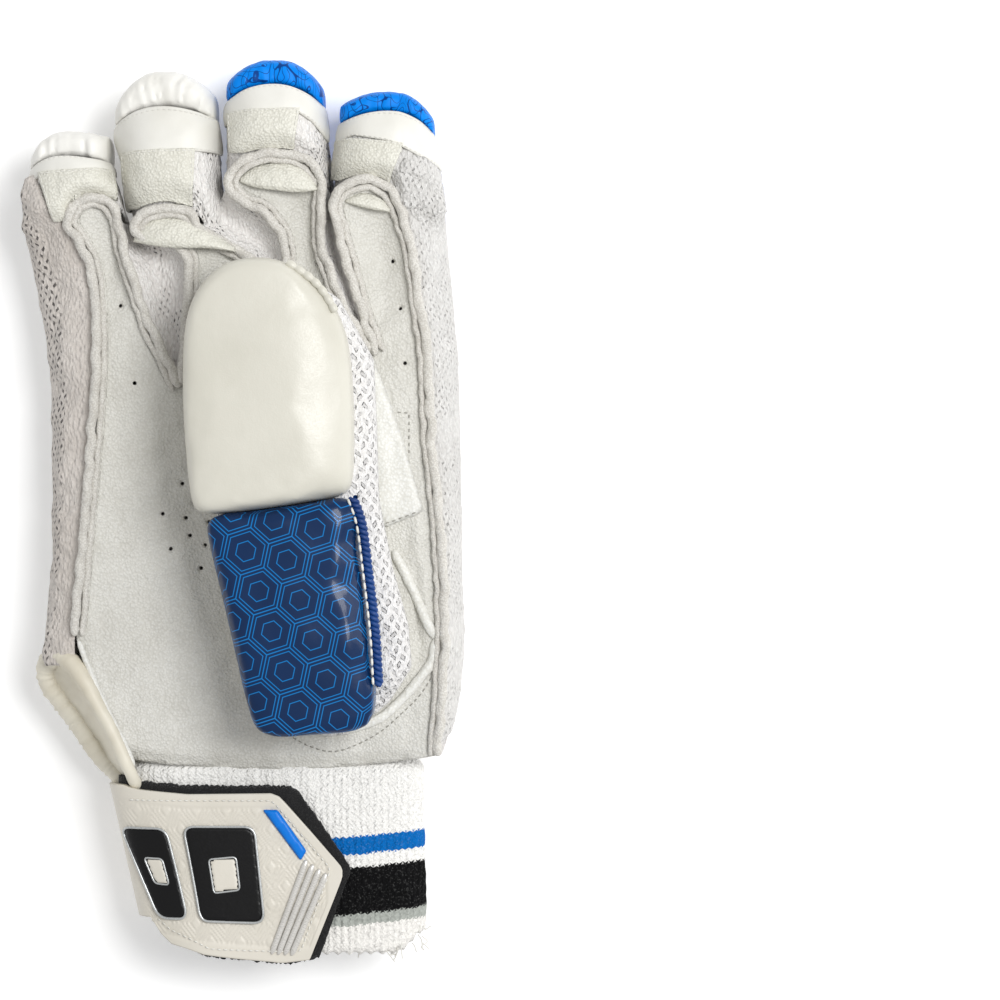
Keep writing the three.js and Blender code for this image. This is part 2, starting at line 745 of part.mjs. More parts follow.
function stallBody(inset) {
  const last = stallRows.length - 1;
  const rings = stallRows.map((row, index) => {
    const endInset = index === 0 ? -inset : index === last ? inset : 0;
    const low = palmLevel + row.low * thumbDepth + inset;
    const high = palmLevel + clearance + row.high * thumbDepth - inset;
    const halfUp = Math.max((high - low) / 2, 0.4);
    const halfX = ((row.right - row.left) / 2) * stepX - inset;
    const middleX = ((row.right + row.left) / 2) * stepX;
    const middleZ = (high + low) / 2;
    return Array.from({ length: 12 }, (_, i) => {
      const angle = (i / 12) * 2 * Math.PI;
      return new THREE.Vector3(
        middleX + halfX * superPower(Math.cos(angle), 0.8),
        row.y * stepY + endInset,
        middleZ + halfUp * superPower(Math.sin(angle), 0.8),
      );
    });
  });
  return toManifold(loft(rings));
}

const stallRoom = stallBody(-clearance);
const stallFloorRoom = toManifold(prism(thumbWay(0), palmLevel - 1, palmLevel + 0.5 * thumbDepth));
const stall = stallBody(0).subtract(stallBody(thumbWall)).subtract(stallFloorRoom).subtract(overPalm);

// All that lies above (side 1) or below (side -1) the seam where the stall is widest.
function beyondSeam(side) {
  const last = stallRows.length - 1;
  const skin = (height) => (u, v) => {
    const row = stallRows[Math.round(v * last)];
    const seam = palmLevel + ((row.low + row.high) * thumbDepth + clearance) / 2;
    const x = mix(fingers[0].front.left, fingers[3].front.right, u) * stepX;
    return new THREE.Vector3(x, row.y * stepY, seam + side * height);
  };
  return toManifold(wall(skin(2 * thumbDepth), skin(clearance / 2), 1, last));
}

add("thumb_stall", stall.intersect(beyondSeam(1)), "mesh");
add("thumb_palm_side", stall.intersect(beyondSeam(-1)), "leather");

function guardPad(rows) {
  const top = palmLevel + thumbDepth * 1.12 + 2 * clearance;
  const rings = rows.map((row) => {
    const halfX = ((row.right - row.left) / 2) * stepX;
    const middleX = ((row.right + row.left) / 2) * stepX;
    const high = top + row.crown * guardDepth;
    const low = palmLevel + (1 - guardSkirt) * thumbDepth;
    return Array.from({ length: 12 }, (_, i) => {
      const angle = ((i + 0.5) / 12) * 2 * Math.PI;
      const across = superPower(Math.cos(angle), 0.55);
      const up = superPower(Math.sin(angle), 0.55);
      const y = row.y + (row.tilt * across) / 2;
      return new THREE.Vector3(middleX + halfX * across, y * stepY, mix(low, high, (up + 1) / 2));
    });
  });
  return toManifold(loft(rings)).subtract(stallRoom);
}

add("thumb_guard_tip", guardPad(guardTipRows), "ivory");
add("thumb_guard_base", guardPad(guardBaseRows), "navy");

function flange() {
  const last = flangeRows.length - 1;
  const edge = (u, out) => {
    const y = mix(flangeRows[0].y, flangeRows[last].y, u);
    const x = lookUp(flangeRows, "y", y, "x") * stepX + clearance + out;
    return { x, y: y * stepY };
  };
  const level = palmLevel + thumbDepth * 0.95;
  const side = (out) => (u, v) => {
    const { x, y } = edge(u, out + (1 - v) * 2);
    return new THREE.Vector3(x, y, level - flangeDepth * (1 - v));
  };
  return toManifold(wall(side(flangeWall), side(0), 6, 2)).subtract(stallRoom);
}

add("thumb_binding", flange(), "blue");

function thumbPatch() {
  const blank = toManifold(prism(thumbPatchOutline.map(onPattern), 0, 2 * palmLevel));
  return palmSlab(-clearance, clearance + patchWall).intersect(blank);
}

add("thumb_patch", thumbPatch(), "leather");

// Rolled edge of the wrist slit, and the lining between its two legs

const slitPoints = slitRoute.map((row) => {
  const point = onPattern([row.x, row.y]);
  const onPalm = palmTop(point.x, point.y) + bindingRadius;
  const onBack = insideFloor + bindingRadius;
  return point.setZ(mix(onBack, onPalm, row.lift));
});

function slitBinding() {
  return toManifold(roll(smooth(slitPoints, 22), bindingRadius, 6));
}

function besidePalm() {
  const outline = [[-300, -130], [-300, -300], [-172, -300], [-172, -130]].map(onPattern);
  return toManifold(prism(outline, -1, 2 * palmLevel));
}

function slitLining() {
  const inner = new THREE.CatmullRomCurve3(slitPoints.slice(0, slitTurn + 1), false, "centripetal");
  const outer = new THREE.CatmullRomCurve3(slitPoints.slice(slitTurn).reverse(), false, "centripetal");
  const skin = (depth) => (u, v) => {
    const along = mix(0.04, 0.76, v);
    const near = inner.getPointAt(along);
    const far = outer.getPointAt(along);
    const inset = (bindingRadius + liningGap) / near.distanceTo(far);
    const point = near.lerp(far, mix(inset, 1 - inset, u));
    return point.setZ(point.z - liningSag * Math.sin(Math.PI * u) - depth);
  };
  return toManifold(wall(skin(0), skin(liningWall), 4, 5)).subtract(palmRoom);
}

add("slit_binding", slitBinding().subtract(overPalm.subtract(besidePalm())), "leather");
add("slit_lining", slitLining(), "knit");

// Knitted cuff and the strap round it

const sleevePower = 0.5;
const sleeve = {
  x: ((cuff.left + cuff.right) / 2) * stepX,
  halfX: ((cuff.right - cuff.left) / 2) * stepX,
  z: (cuffBottom + cuffTop) / 2,
  halfZ: (cuffTop - cuffBottom) / 2,
};

function sleeveAt(angle, out) {
  return {
    x: sleeve.x + (sleeve.halfX + out) * superPower(Math.cos(angle), sleevePower),
    z: sleeve.z + (sleeve.halfZ + out) * superPower(Math.sin(angle), sleevePower),
  };
}

function cuffRing(out, y) {
  return Array.from({ length: 24 }, (_, i) => {
    const { x, z } = sleeveAt(((i + 0.5) / 24) * 2 * Math.PI, out);
    return new THREE.Vector3(x, y, z);
  });
}

function cuffSolid() {
  const outerRings = [cuff.end, (cuff.top + cuff.end) / 2, cuff.top].map((y) => cuffRing(0, y * stepY));
  const bore = [cuff.end - 20, cuff.top + 20].map((y) => cuffRing(-cuffWall, y * stepY));
  return toManifold(loft(outerRings)).subtract(toManifold(loft(bore)));
}

add("cuff", cuffSolid(), "knit");

const strapFirst = 0.44 * Math.PI;
const strapLast = 1.5 * Math.PI;

function strapSkin(out, rim) {
  return (u, v) => {
    const angle = mix(strapFirst, strapLast, u);
    const { x, z } = sleeveAt(angle, out);
    const under = angle > Math.PI;
    const row = under ? strapRows[strapRows.length - 1].x : x / stepX;
    const top = lookUp(strapRows, "x", row, "top") + rim;
    const bottom = lookUp(strapRows, "x", row, "bottom") - rim * 0.3;
    return new THREE.Vector3(x, mix(top, bottom, v) * stepY, z);
  };
}

const backingOut = clearance;
const faceOut = backingOut + backingWall + clearance;

add("strap_backing", wall(strapSkin(backingOut + backingWall, backingRim),
  strapSkin(backingOut, backingRim), 18, 2), "black");
add("strap_face", wall(strapSkin(faceOut + strapWall, 0), strapSkin(faceOut, 0), 18, 2), "strap");

// What is raised on the strap: ranges across and along the pattern, lifted off the strap's face
const raisedOut = faceOut + strapWall + clearance;
const strapRoom = toManifold(wall(strapSkin(raisedOut, 0), strapSkin(faceOut, 0), 18, 2));

function onStrap(corners, columns) {
  const skin = (out) => (u, v) => {
    const near = corners[0].map((value, i) => mix(value, corners[1][i], u));
    const far = corners[3].map((value, i) => mix(value, corners[2][i], u));
    const x = mix(near[0], far[0], v) * stepX;
    const y = mix(near[1], far[1], v) * stepY;
    const share = Math.min(1, Math.abs(x - sleeve.x) / (sleeve.halfX + out));
    const up = (1 - share ** (2 / sleevePower)) ** (sleevePower / 2);
    return new THREE.Vector3(x, y, sleeve.z + (sleeve.halfZ + out) * up);
  };
  return toManifold(wall(skin(raisedOut + badgeWall), skin(raisedOut), columns, 1)).subtract(strapRoom);
}

for (const badge of strapBadges) {
  const { name, left, right, top, bottom, slant } = badge;
  const corners = [[left, top], [right, top], [right + slant, bottom], [left + slant, bottom]];
  add(name, onStrap(corners, 4), "black");
}
add("strap_accent", onStrap(accentCorners, 1), "blue");
for (let rib = 0; rib < ribs.count; rib += 1) {
  const shift = rib * ribs.pitch;
  const corners = [[ribs.highX + shift, ribs.highY - rib * ribs.fall], [ribs.highX + shift + ribs.wide,
    ribs.highY - rib * ribs.fall], [ribs.lowX + shift + ribs.wide, ribs.lowY], [ribs.lowX + shift, ribs.lowY]];
  add(`strap_rib_${rib + 1}`, onStrap(corners, 1), "silver");
}

const bounds = new THREE.Box3().setFromObject(glove);
const middle = bounds.getCenter(new THREE.Vector3());
glove.position.set(-middle.x, -middle.y, -bounds.min.z);

export default glove;
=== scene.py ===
import json
import math

import bmesh
import bpy
import numpy as np
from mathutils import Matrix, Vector, geometry

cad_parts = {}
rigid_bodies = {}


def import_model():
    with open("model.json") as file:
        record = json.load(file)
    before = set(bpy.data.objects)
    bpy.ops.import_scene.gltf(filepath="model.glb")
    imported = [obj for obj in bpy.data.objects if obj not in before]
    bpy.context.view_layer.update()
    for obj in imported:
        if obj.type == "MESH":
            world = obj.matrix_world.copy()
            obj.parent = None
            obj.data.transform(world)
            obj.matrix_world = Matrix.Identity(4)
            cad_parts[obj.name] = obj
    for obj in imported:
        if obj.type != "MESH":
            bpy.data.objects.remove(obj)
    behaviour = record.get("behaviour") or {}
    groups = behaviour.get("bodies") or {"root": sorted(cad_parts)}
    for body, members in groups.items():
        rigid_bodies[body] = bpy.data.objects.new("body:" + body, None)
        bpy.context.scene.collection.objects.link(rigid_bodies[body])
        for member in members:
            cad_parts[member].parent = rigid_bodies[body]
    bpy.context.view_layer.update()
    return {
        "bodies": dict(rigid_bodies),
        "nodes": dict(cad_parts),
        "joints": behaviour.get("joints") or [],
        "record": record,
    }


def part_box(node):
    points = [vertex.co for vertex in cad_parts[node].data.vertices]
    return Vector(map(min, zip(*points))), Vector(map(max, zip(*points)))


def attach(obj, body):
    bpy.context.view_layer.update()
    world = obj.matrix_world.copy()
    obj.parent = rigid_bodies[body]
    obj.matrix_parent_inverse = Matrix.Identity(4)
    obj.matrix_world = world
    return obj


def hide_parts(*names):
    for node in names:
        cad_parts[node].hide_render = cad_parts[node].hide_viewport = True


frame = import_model()

# A right-hand batting glove that lies palm up. Its plan is drawn on a pattern of 442 steps across
# and 900 steps along, counted from the middle. A step is a pixel of the photo, where that middle lies
# at PHOTO_ORIGIN. All heights come from the fixed frame.

MM = 0.001
GLOVE_WIDTH, GLOVE_LENGTH = 0.1414, 0.288
PATTERN_STEPS = (442, 900)
PATTERN_RIGHT = 221
BACK_END = -250
PHOTO_ORIGIN = (241, 510)
STEP_X = GLOVE_WIDTH / PATTERN_STEPS[0]
STEP_Y = GLOVE_LENGTH / PATTERN_STEPS[1]
STEP = np.array([STEP_X, STEP_Y])

back_low, back_high = (np.array(corner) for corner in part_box("hand_back"))
SHIFT = np.array([back_high[0] - PATTERN_RIGHT * STEP_X, back_low[1] - BACK_END * STEP_Y])
CLEARANCE = 0.3 * MM
INSIDE_FLOOR = back_high[2] + CLEARANCE
HAND_DEPTH = 18 * MM
TIP_DEPTH = 23 * MM
BAND_DEPTH = 19 * MM
PALM_LEVEL = INSIDE_FLOOR + HAND_DEPTH
THUMB_DEPTH = 18 * MM
GUARD_DEPTH = 18 * MM
ROLL_HEIGHT = 15 * MM
LIP = 1.9 * MM

FINGERS = {
    "little": dict(
        cloth="white",
        band=(-214, 338, 352, -135, 347), tip=(356, 383, 378), front=(-217, -117),
        arch=(-148, 24, 288, 311), base=(-209, -99),
        left=[(-161, 270), (-148, 235), (-143, 170), (-145, 110), (-155, -10), (-165, -126)],
        right=[(-120, 262), (-109, 230), (-93, 185), (-63, 122)],
        patch=[(-186, 287), (-122, 287), (-133, 341), (-202, 338)],
        band_low=[(-224, 320), (-201, 333), (-177, 338), (-130, 336)],
        tongue=None,
    ),
    "ring": dict(
        cloth="white",
        band=(-129, 382, 401, -28, 390), tip=(408, 444, 418), front=(-112, -19),
        arch=(-74, 32, 282, 300), base=(-95, -15),
        left=[(-97, 275), (-70, 271), (-54, 256), (-52, 225), (-55, 180), (-59, 126)],
        right=[(-16, 266), (9, 250), (23, 218), (25, 175), (22, 130)],
        patch=[(-117, 302), (-48, 304), (-47, 361), (-119, 359)],
        band_low=[(-132, 352), (-100, 356), (-47, 358), (-24, 358)],
        tongue=dict(top=[(-107, 274), (-94, 289), (-72, 296), (-50, 292), (-31, 280), (-6, 262)],
                    low=[(-108, 268), (-84, 263), (-62, 261), (-36, 261), (-6, 258)], lift=4.2),
    ),
    "middle": dict(
        cloth="blue",
        band=(-17, 407, 424, 81, 403), tip=(432, 455, 426), front=(-18, 87),
        arch=(34, 45, 328, 355), base=(-11, 105),
        left=[(-1, 312), (21, 301), (39, 280), (45, 250), (39, 180), (27, 130)],
        right=[(78, 295), (80, 262), (91, 232), (104, 196), (128, 158)],
        patch=[(-10, 359), (53, 361), (58, 401), (-12, 399)],
        band_low=[(-24, 380), (-10, 394), (4, 398), (54, 398), (70, 388), (88, 366)],
        tongue=dict(top=[(-2, 331), (9, 341), (24, 347), (46, 348), (62, 341), (75, 326)],
                    low=[(-2, 328), (14, 322), (35, 319), (60, 317), (77, 320)], lift=3.4),
    ),
    "index": dict(
        cloth="blue",
        band=(97, 386, 397, 193, 373), tip=(408, 423, 394), front=(90, 205),
        arch=(124, 31, 304, 328), base=(109, 209),
        left=[(99, 278), (110, 240), (121, 200), (137, 156)],
        right=[(168, 268), (176, 215), (184, 160), (189, 70), (199, -30), (202, -130), (195, -246)],
        patch=[(92, 332), (149, 326), (162, 366), (94, 373)],
        band_low=[(88, 366), (113, 374), (145, 368), (161, 362), (202, 340)],
        tongue=dict(top=[(104, 310), (114, 316), (128, 317), (142, 310), (149, 301)],
                    low=[(104, 308), (116, 304), (132, 300), (149, 298)], lift=2.6),
    ),
}
NAMES = list(FINGERS)
FINGER_BASE = 210

# Columns and rows of the grids that the pieces are made of
GRIDS = dict(
    hood=(72, 34), band=(96, 22), patch=(44, 34), tongue=(60, 18), tip=(150, 56), web=(30, 90),
    side_wall=(34, 150), pillow=(56, 36), stall=(46, 110), slit=(34, 90), cuff=(420, 46),
    pile=(200, 34), strap=(260, 90),
)

# Rows of stitches: the pitch, the share of it that shows, and the radius of the thread
STITCHES = dict(
    lip=(1.9 * MM, 0.7, 0.16 * MM), band=(1.7 * MM, 0.72, 0.15 * MM), patch=(1.8 * MM, 0.7, 0.15 * MM),
    rope=(2.9 * MM, 0.8, 0.42 * MM), thumb=(2.0 * MM, 0.6, 0.2 * MM), flap=(2.1 * MM, 0.55, 0.18 * MM),
    palm=(2.1 * MM, 0.55, 0.2 * MM), strap=(2.0 * MM, 0.62, 0.22 * MM),
)

# The hand's outline: place along, left edge and right edge
SIDE_EDGES = np.array([
    (-250, -152, 200), (-205, -182, 214), (-150, -204, 221), (-50, -194, 219), (90, -194, 217),
    (150, -197, 215), (230, -211, 208), (270, -220, 204), (310, -220, 200), (345, -220, 196),
])
WRIST_EDGE = [(-165, -130), (-144, -190), (-126, -225), (-112, -250), (-81, -255), (-1, -260),
              (89, -259), (159, -252), (195, -246)]

# Dents (positive) and swellings (negative) of the palm leather: place, reach, share of the depth
PALM_DENTS = [
    (-40, -30, 95, 150, 0.2), (-132, 245, 20, 46, 0.32), (-12, 225, 34, 48, 0.32),
    (62, 265, 24, 62, 0.36), (142, 250, 30, 58, 0.34), (-148, 305, 24, 14, -0.06),
    (-74, 292, 34, 18, -0.06), (34, 345, 46, 20, -0.06), (124, 322, 34, 16, -0.06),
]

# Soft folds of the palm leather: ends, half width in steps, height in millimetres
PALM_FOLDS = [
    ((-152, 60), (-150, -120), 10, 0.5), ((-20, -205), (150, -205), 12, 0.7),
    ((-105, -215), (-15, -235), 9, 0.5), ((176, -10), (186, -120), 7, 1.1),
    ((176, -60), (178, -150), 5, -0.9), ((30, -246), (30, -262), 12, 0.5),
    ((-60, -246), (-60, -264), 14, 0.5), ((-130, 20), (-95, -60), 14, 0.35),
    ((150, 120), (172, 40), 6, 0.3), ((60, -228), (140, -236), 6, -0.4),
]

STAR = dict(x=-33, y=-12, reach=47, turn=-10, arms=8, rings=2)
LOOSE_HOLES = [(-122, 205), (-107, 127), (75, 247), (151, 250), (159, 202), (164, 147)]
HOLE_RADIUS = 0.62 * MM

# The thumb's tube: place along, left and right side, its underside and top as shares of the thumb's depth
STALL_ROWS = np.array([
    (232, 4, 54, 0.28, 0.82), (207, -26, 96, 0.2, 1.02), (148, -38, 130, 0.18, 1.1),
    (79, -37, 133, 0.16, 1.12), (10, -20, 135, 0.12, 1.1), (-60, -8, 149, 0.07, 1.06),
    (-115, -4, 164, 0.03, 1.0), (-155, 8, 167, 0.02, 0.86), (-188, 26, 146, 0.02, 0.6),
    (-212, 60, 116, 0.02, 0.3), (-221, 72, 104, 0.0, 0.03),
])


# Small tools

def plan(points):
    """Pattern steps to metres in plan."""
    return np.asarray(points, float)[..., :2] * STEP + SHIFT


def surface(x, y, z):
    """Points in metres from pattern steps across and along and a height in metres."""
    return np.concatenate([plan(np.stack([x, y], -1)), z[..., None]], -1)


def to_steps(x, y):
    return (x - SHIFT[0]) / STEP_X, (y - SHIFT[1]) / STEP_Y


def mix(a, b, t):
    return a + (b - a) * t


def smooth_step(low, high, value):
    t = np.clip((value - low) / (high - low), 0, 1)
    return t * t * (3 - 2 * t)


def catmull(points, closed=False):
    """A dense centripetal Catmull-Rom line through the points."""
    p = np.asarray(points, float)
    if closed:
        p = np.vstack([p[-1], p, p[0], p[1]])
    else:
        p = np.vstack([2 * p[0] - p[1], p, 2 * p[-1] - p[-2]])
    out = []
    for a, b, c, d in zip(p, p[1:], p[2:], p[3:]):
        knots = np.cumsum([0] + [max(np.linalg.norm(q - r), 1e-9) ** 0.5
                                 for q, r in ((b, a), (c, b), (d, c))])
        t = np.linspace(knots[1], knots[2], 17)[:-1, None]
        def blend(q, r, i, j):
            return ((knots[j] - t) * q + (t - knots[i]) * r) / (knots[j] - knots[i])
        ab, bc, cd = blend(a, b, 0, 1), blend(b, c, 1, 2), blend(c, d, 2, 3)
        abc, bcd = blend(ab, bc, 0, 2), blend(bc, cd, 1, 3)
        out.append(blend(abc, bcd, 1, 2))
    line = np.vstack(out)
    return line if closed else np.vstack([line, p[-2]])


def evenly(line, spacing, closed=False):
    """The line resampled at about that spacing."""
    line = np.vstack([line, line[0]]) if closed else line
    lengths = np.linalg.norm(np.diff(line, axis=0), axis=1)
    along = np.concatenate([[0], np.cumsum(lengths)])
    count = max(int(round(along[-1] / spacing)), 2)
    at = np.linspace(0, along[-1], count + 1)
    if closed:
        at = at[:-1]
    return np.stack([np.interp(at, along, line[:, i]) for i in range(line.shape[1])], 1)


def drawn(points, spacing, closed=False):
    """A smooth line in plan through pattern points, at an even spacing."""
    return evenly(plan(catmull(points, closed)), spacing, closed)


def ripples(points, length, seed, waves=7):
    """A smooth random height of about unit size that varies over about that length."""
    rng = np.random.default_rng(seed)
    size = np.asarray(points).shape[-1]
    ways = rng.normal(size=(waves, size))
    ways /= np.linalg.norm(ways, axis=1)[:, None]
    ways *= 2 * math.pi / length * rng.uniform(0.6, 1.5, waves)[:, None]
    phases = rng.uniform(0, 2 * math.pi, waves)
    return np.sin(np.asarray(points) @ ways.T + phases).sum(-1) / math.sqrt(waves / 2)


def power(value, exponent):
    return np.sign(value) * np.abs(value) ** exponent


def distance_to_line(points, line):
    """The distance of each 2-D point to an open line of 2-D points."""
    best = np.full(len(points), np.inf)
    for a, b in zip(line, line[1:]):
        way = b - a
        share = np.clip(((points - a) @ way) / max(way @ way, 1e-12), 0, 1)
        best = np.minimum(best, np.linalg.norm(points - a - share[:, None] * way, axis=1))
    return best


def inside(points, outline):
    """Which 2-D points lie inside a closed outline."""
    x, y = points[:, 0], points[:, 1]
    result = np.zeros(len(points), bool)
    for (ax, ay), (bx, by) in zip(outline, np.roll(outline, -1, 0)):
        crosses = (ay > y) != (by > y)
        with np.errstate(divide="ignore", invalid="ignore"):
            at = (bx - ax) * (y - ay) / (by - ay) + ax
        result ^= crosses & (x < at)
    return result


# Meshes

def make_object(name, points, faces, material, uv=None, body="root"):
    mesh = bpy.data.meshes.new(name)
    mesh.from_pydata([tuple(p) for p in np.asarray(points, float)], [], [tuple(f) for f in faces])
    mesh.validate()
    mesh.polygons.foreach_set("use_smooth", [True] * len(mesh.polygons))
    if uv is not None:
        layer = mesh.uv_layers.new(name="UVMap")
        corners = np.zeros(len(mesh.loops), np.int32)
        mesh.loops.foreach_get("vertex_index", corners)
        layer.data.foreach_set("uv", np.asarray(uv, np.float32)[corners].ravel())
    mesh.materials.append(material)
    obj = bpy.data.objects.new(name, mesh)
    bpy.context.scene.collection.objects.link(obj)
    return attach(obj, body)


def grid_faces(rows, columns, wrap=False, start=0):
    faces = []
    width = columns
    for row in range(rows - 1):
        for column in range(columns if wrap else columns - 1):
            a = start + row * width + column
            b = start + row * width + (column + 1) % width
            faces.append((a, b, b + width, a + width))
    return faces


def grid_uv(grid):
    """Lengths along a grid's rows and columns, in metres, as its UV."""
    rows, columns = grid.shape[:2]
    across = np.linalg.norm(np.diff(grid, axis=1), axis=2)
    along = np.linalg.norm(np.diff(grid, axis=0), axis=2)
    u = np.concatenate([np.zeros((rows, 1)), np.cumsum(across, 1)], 1)
    v = np.concatenate([np.zeros((1, columns)), np.cumsum(along, 0)], 0)
    u = u - u.mean(1, keepdims=True)
    v = np.repeat(v.mean(1)[:, None], columns, 1)
    return np.stack([u, v], 2).reshape(-1, 2)


def sheet_object(name, grid, material, thickness=1.2 * MM, offset=-1.0):
    """A wall of that thickness on a grid of points, rows by columns."""
    rows, columns = grid.shape[:2]
    obj = make_object(name, grid.reshape(-1, 3), grid_faces(rows, columns), material, grid_uv(grid))
    thicken(obj, thickness, offset)
    return obj


def thicken(obj, thickness, offset=-1.0):
    solid = obj.modifiers.new("thickness", "SOLIDIFY")
    solid.thickness = thickness
    solid.offset = offset


def refine(obj):
    fine = obj.modifiers.new("fine", "SUBSURF")
    fine.levels = fine.render_levels = 1


def loft_object(name, rings, material, last_cap=True):
    """A closed body through rings of points: an array of rings by sides by 3."""
    count, sides = rings.shape[:2]
    points = rings.reshape(-1, 3)
    faces = grid_faces(count, sides, wrap=True)
    points = np.vstack([points, rings[0].mean(0), rings[-1].mean(0)])
    first, last = count * sides, count * sides + 1
    end = (count - 1) * sides
    for side in range(sides):
        after = (side + 1) % sides
        faces.append((after, side, first))
        if last_cap:
            faces.append((end + side, end + after, last))
    flat = np.linalg.norm(np.diff(rings, axis=0), axis=2).mean(1)
    v = np.repeat(np.concatenate([[0], np.cumsum(flat)])[:, None], sides, 1)
    around = np.linalg.norm(rings - np.roll(rings, 1, 1), axis=2).sum(1).mean()
    u = np.tile(np.arange(sides) / sides * around, (count, 1))
    uv = np.stack([u, v], 2).reshape(-1, 2)
    return make_object(name, points, faces, material, np.vstack([uv, uv[0], uv[-1]]))


def route_frames(route):
    """Along, side and top directions of a route, its section upright."""
    along = np.gradient(route, axis=0)
    along /= np.linalg.norm(along, axis=1)[:, None]
    side = np.cross(along, [0, 0, 1])
    side /= np.maximum(np.linalg.norm(side, axis=1), 1e-9)[:, None]
    return along, side, np.cross(side, along)


def sweep_rings(route, section, scale=1.0):
    """Rings of a section, an array of (side, top) offsets in metres, along a route."""
    _, side, top = route_frames(route)
    section = np.asarray(section, float)
    scale = np.broadcast_to(np.asarray(scale, float), (len(route),))
    return (route[:, None]
            + side[:, None] * section[None, :, 0:1] * scale[:, None, None]
            + top[:, None] * section[None, :, 1:2] * scale[:, None, None])


def circle(radius, sides, squash=1.0):
    angle = (np.arange(sides) + 0.5) / sides * 2 * math.pi
    return np.stack([radius * np.cos(angle), radius * squash * np.sin(angle)], 1)


def join(name, parts, material):
    """One mesh of many small closed parts: a list of (points, faces)."""
    points, faces, total = [], [], 0
    for part_points, part_faces in parts:
        points.append(part_points)
        faces += [tuple(i + total for i in face) for face in part_faces]
        total += len(part_points)
    return make_object(name, np.vstack(points), faces, material)


def stitch_part(a, b, up, radius):
    """One stitch: a thin thread from a to b, bowed a little upwards, its ends pulled down."""
    along = (b - a) / max(np.linalg.norm(b - a), 1e-9)
    side = np.cross(along, up)
    side /= max(np.linalg.norm(side), 1e-9)
    rings = []
    for share, size, lift in ((0, 0.45, -0.6), (0.16, 0.9, 0.35), (0.5, 1, 0.6), (0.84, 0.9, 0.35),
                              (1, 0.45, -0.6)):
        centre = mix(a, b, share) + up * lift * radius
        for k in range(6):
            angle = k / 6 * 2 * math.pi
            rings.append(centre + size * radius * (side * math.cos(angle) + up * math.sin(angle)))
    faces = grid_faces(5, 6, wrap=True)
    faces += [tuple(range(5, -1, -1)), tuple(range(24, 30))]
    return np.array(rings), faces


def stitches(name, line, material, kind):
    """A row of separate stitches of a kind of STITCHES along a 3-D line."""
    pitch, share, radius = STITCHES[kind]
    up = np.array([0, 0, 1.0])
    count = max(int(np.linalg.norm(np.diff(line, axis=0), axis=1).sum() / pitch), 1)
    ends = evenly(line, np.linalg.norm(np.diff(line, axis=0), axis=1).sum() / count)
    parts = []
    for a, b in zip(ends, ends[1:]):
        parts.append(stitch_part(mix(a, b, (1 - share) / 2), mix(a, b, (1 + share) / 2), up, radius))
    return join(name, parts, material)


# Materials

class Paint:
    """A principled material and short ways to add nodes to it."""

    def __init__(self, name, color, roughness=0.55, **sockets):
        self.material = bpy.data.materials.new(name)
        self.material.use_nodes = True
        self.tree = self.material.node_tree
        self.shader = self.tree.nodes["Principled BSDF"]
        self.shader.inputs["Base Color"].default_value = (*color, 1)
        self.shader.inputs["Roughness"].default_value = roughness
        for socket, value in sockets.items():
            self.shader.inputs[socket.replace("_", " ")].default_value = value
        self.where = self.tree.nodes.new("ShaderNodeTexCoord")
        self.normal = None

    def add(self, kind, links=None, **settings):
        node = self.tree.nodes.new(kind)
        for key, value in settings.items():
            setattr(node, key, value)
        for socket, value in (links or {}).items():
            if isinstance(value, bpy.types.NodeSocket):
                self.tree.links.new(value, node.inputs[socket])
            else:
                node.inputs[socket].default_value = value
        return node

    def place(self, scale=(1, 1, 1), turn=0.0, uv=False):
        source = self.where.outputs["UV" if uv else "Object"]
        links = {"Vector": source, "Scale": scale, "Rotation": (0, 0, math.radians(turn))}
        return self.add("ShaderNodeMapping", links).outputs[0]

    def noise(self, scale, detail=2.0, rough=0.5, warp=0.0, vector=None):
        links = {"Scale": scale, "Detail": detail, "Roughness": rough, "Distortion": warp,
                 "Vector": self.where.outputs["Object"] if vector is None else vector}
        return self.add("ShaderNodeTexNoise", links).outputs["Fac"]

    def cells(self, scale, feature="F1", vector=None, randomness=1.0):
        links = {"Scale": scale, "Randomness": randomness,
                 "Vector": self.where.outputs["Object"] if vector is None else vector}
        return self.add("ShaderNodeTexVoronoi", links, feature=feature).outputs["Distance"]

    def domes(self, scale, vector=None):
        """Rounded bumps, high in the middle of each cell."""
        links = {"Scale": scale, "Smoothness": 0.3,
                 "Vector": self.where.outputs["Object"] if vector is None else vector}
        cell = self.add("ShaderNodeTexVoronoi", links, feature="SMOOTH_F1")
        return self.maths("SUBTRACT", 1.0, cell.outputs["Distance"])

    def maths(self, operation, a, b=0.0, c=0.0):
        return self.add("ShaderNodeMath", {0: a, 1: b, 2: c}, operation=operation).outputs[0]

    def ramp(self, value, low, high, start=0.0, end=1.0):
        links = {"Value": value, "From Min": low, "From Max": high, "To Min": start, "To Max": end}
        return self.add("ShaderNodeMapRange", links, interpolation_type="SMOOTHSTEP").outputs[0]

    def color(self, share, first, second):
        node = self.add("ShaderNodeMix", {0: share}, data_type="RGBA")
        for socket, value in ((node.inputs[6], first), (node.inputs[7], second)):
            if isinstance(value, bpy.types.NodeSocket):
                self.tree.links.new(value, socket)
            else:
                socket.default_value = (*value, 1)
        return node.outputs[2]

    def bump(self, height, distance, strength=1.0):
        links = {"Height": height, "Distance": distance, "Strength": strength}
        if self.normal is not None:
            links["Normal"] = self.normal
        self.normal = self.add("ShaderNodeBump", links).outputs[0]
        self.tree.links.new(self.normal, self.shader.inputs["Normal"])

    def use(self, socket, value):
        self.tree.links.new(value, self.shader.inputs[socket])


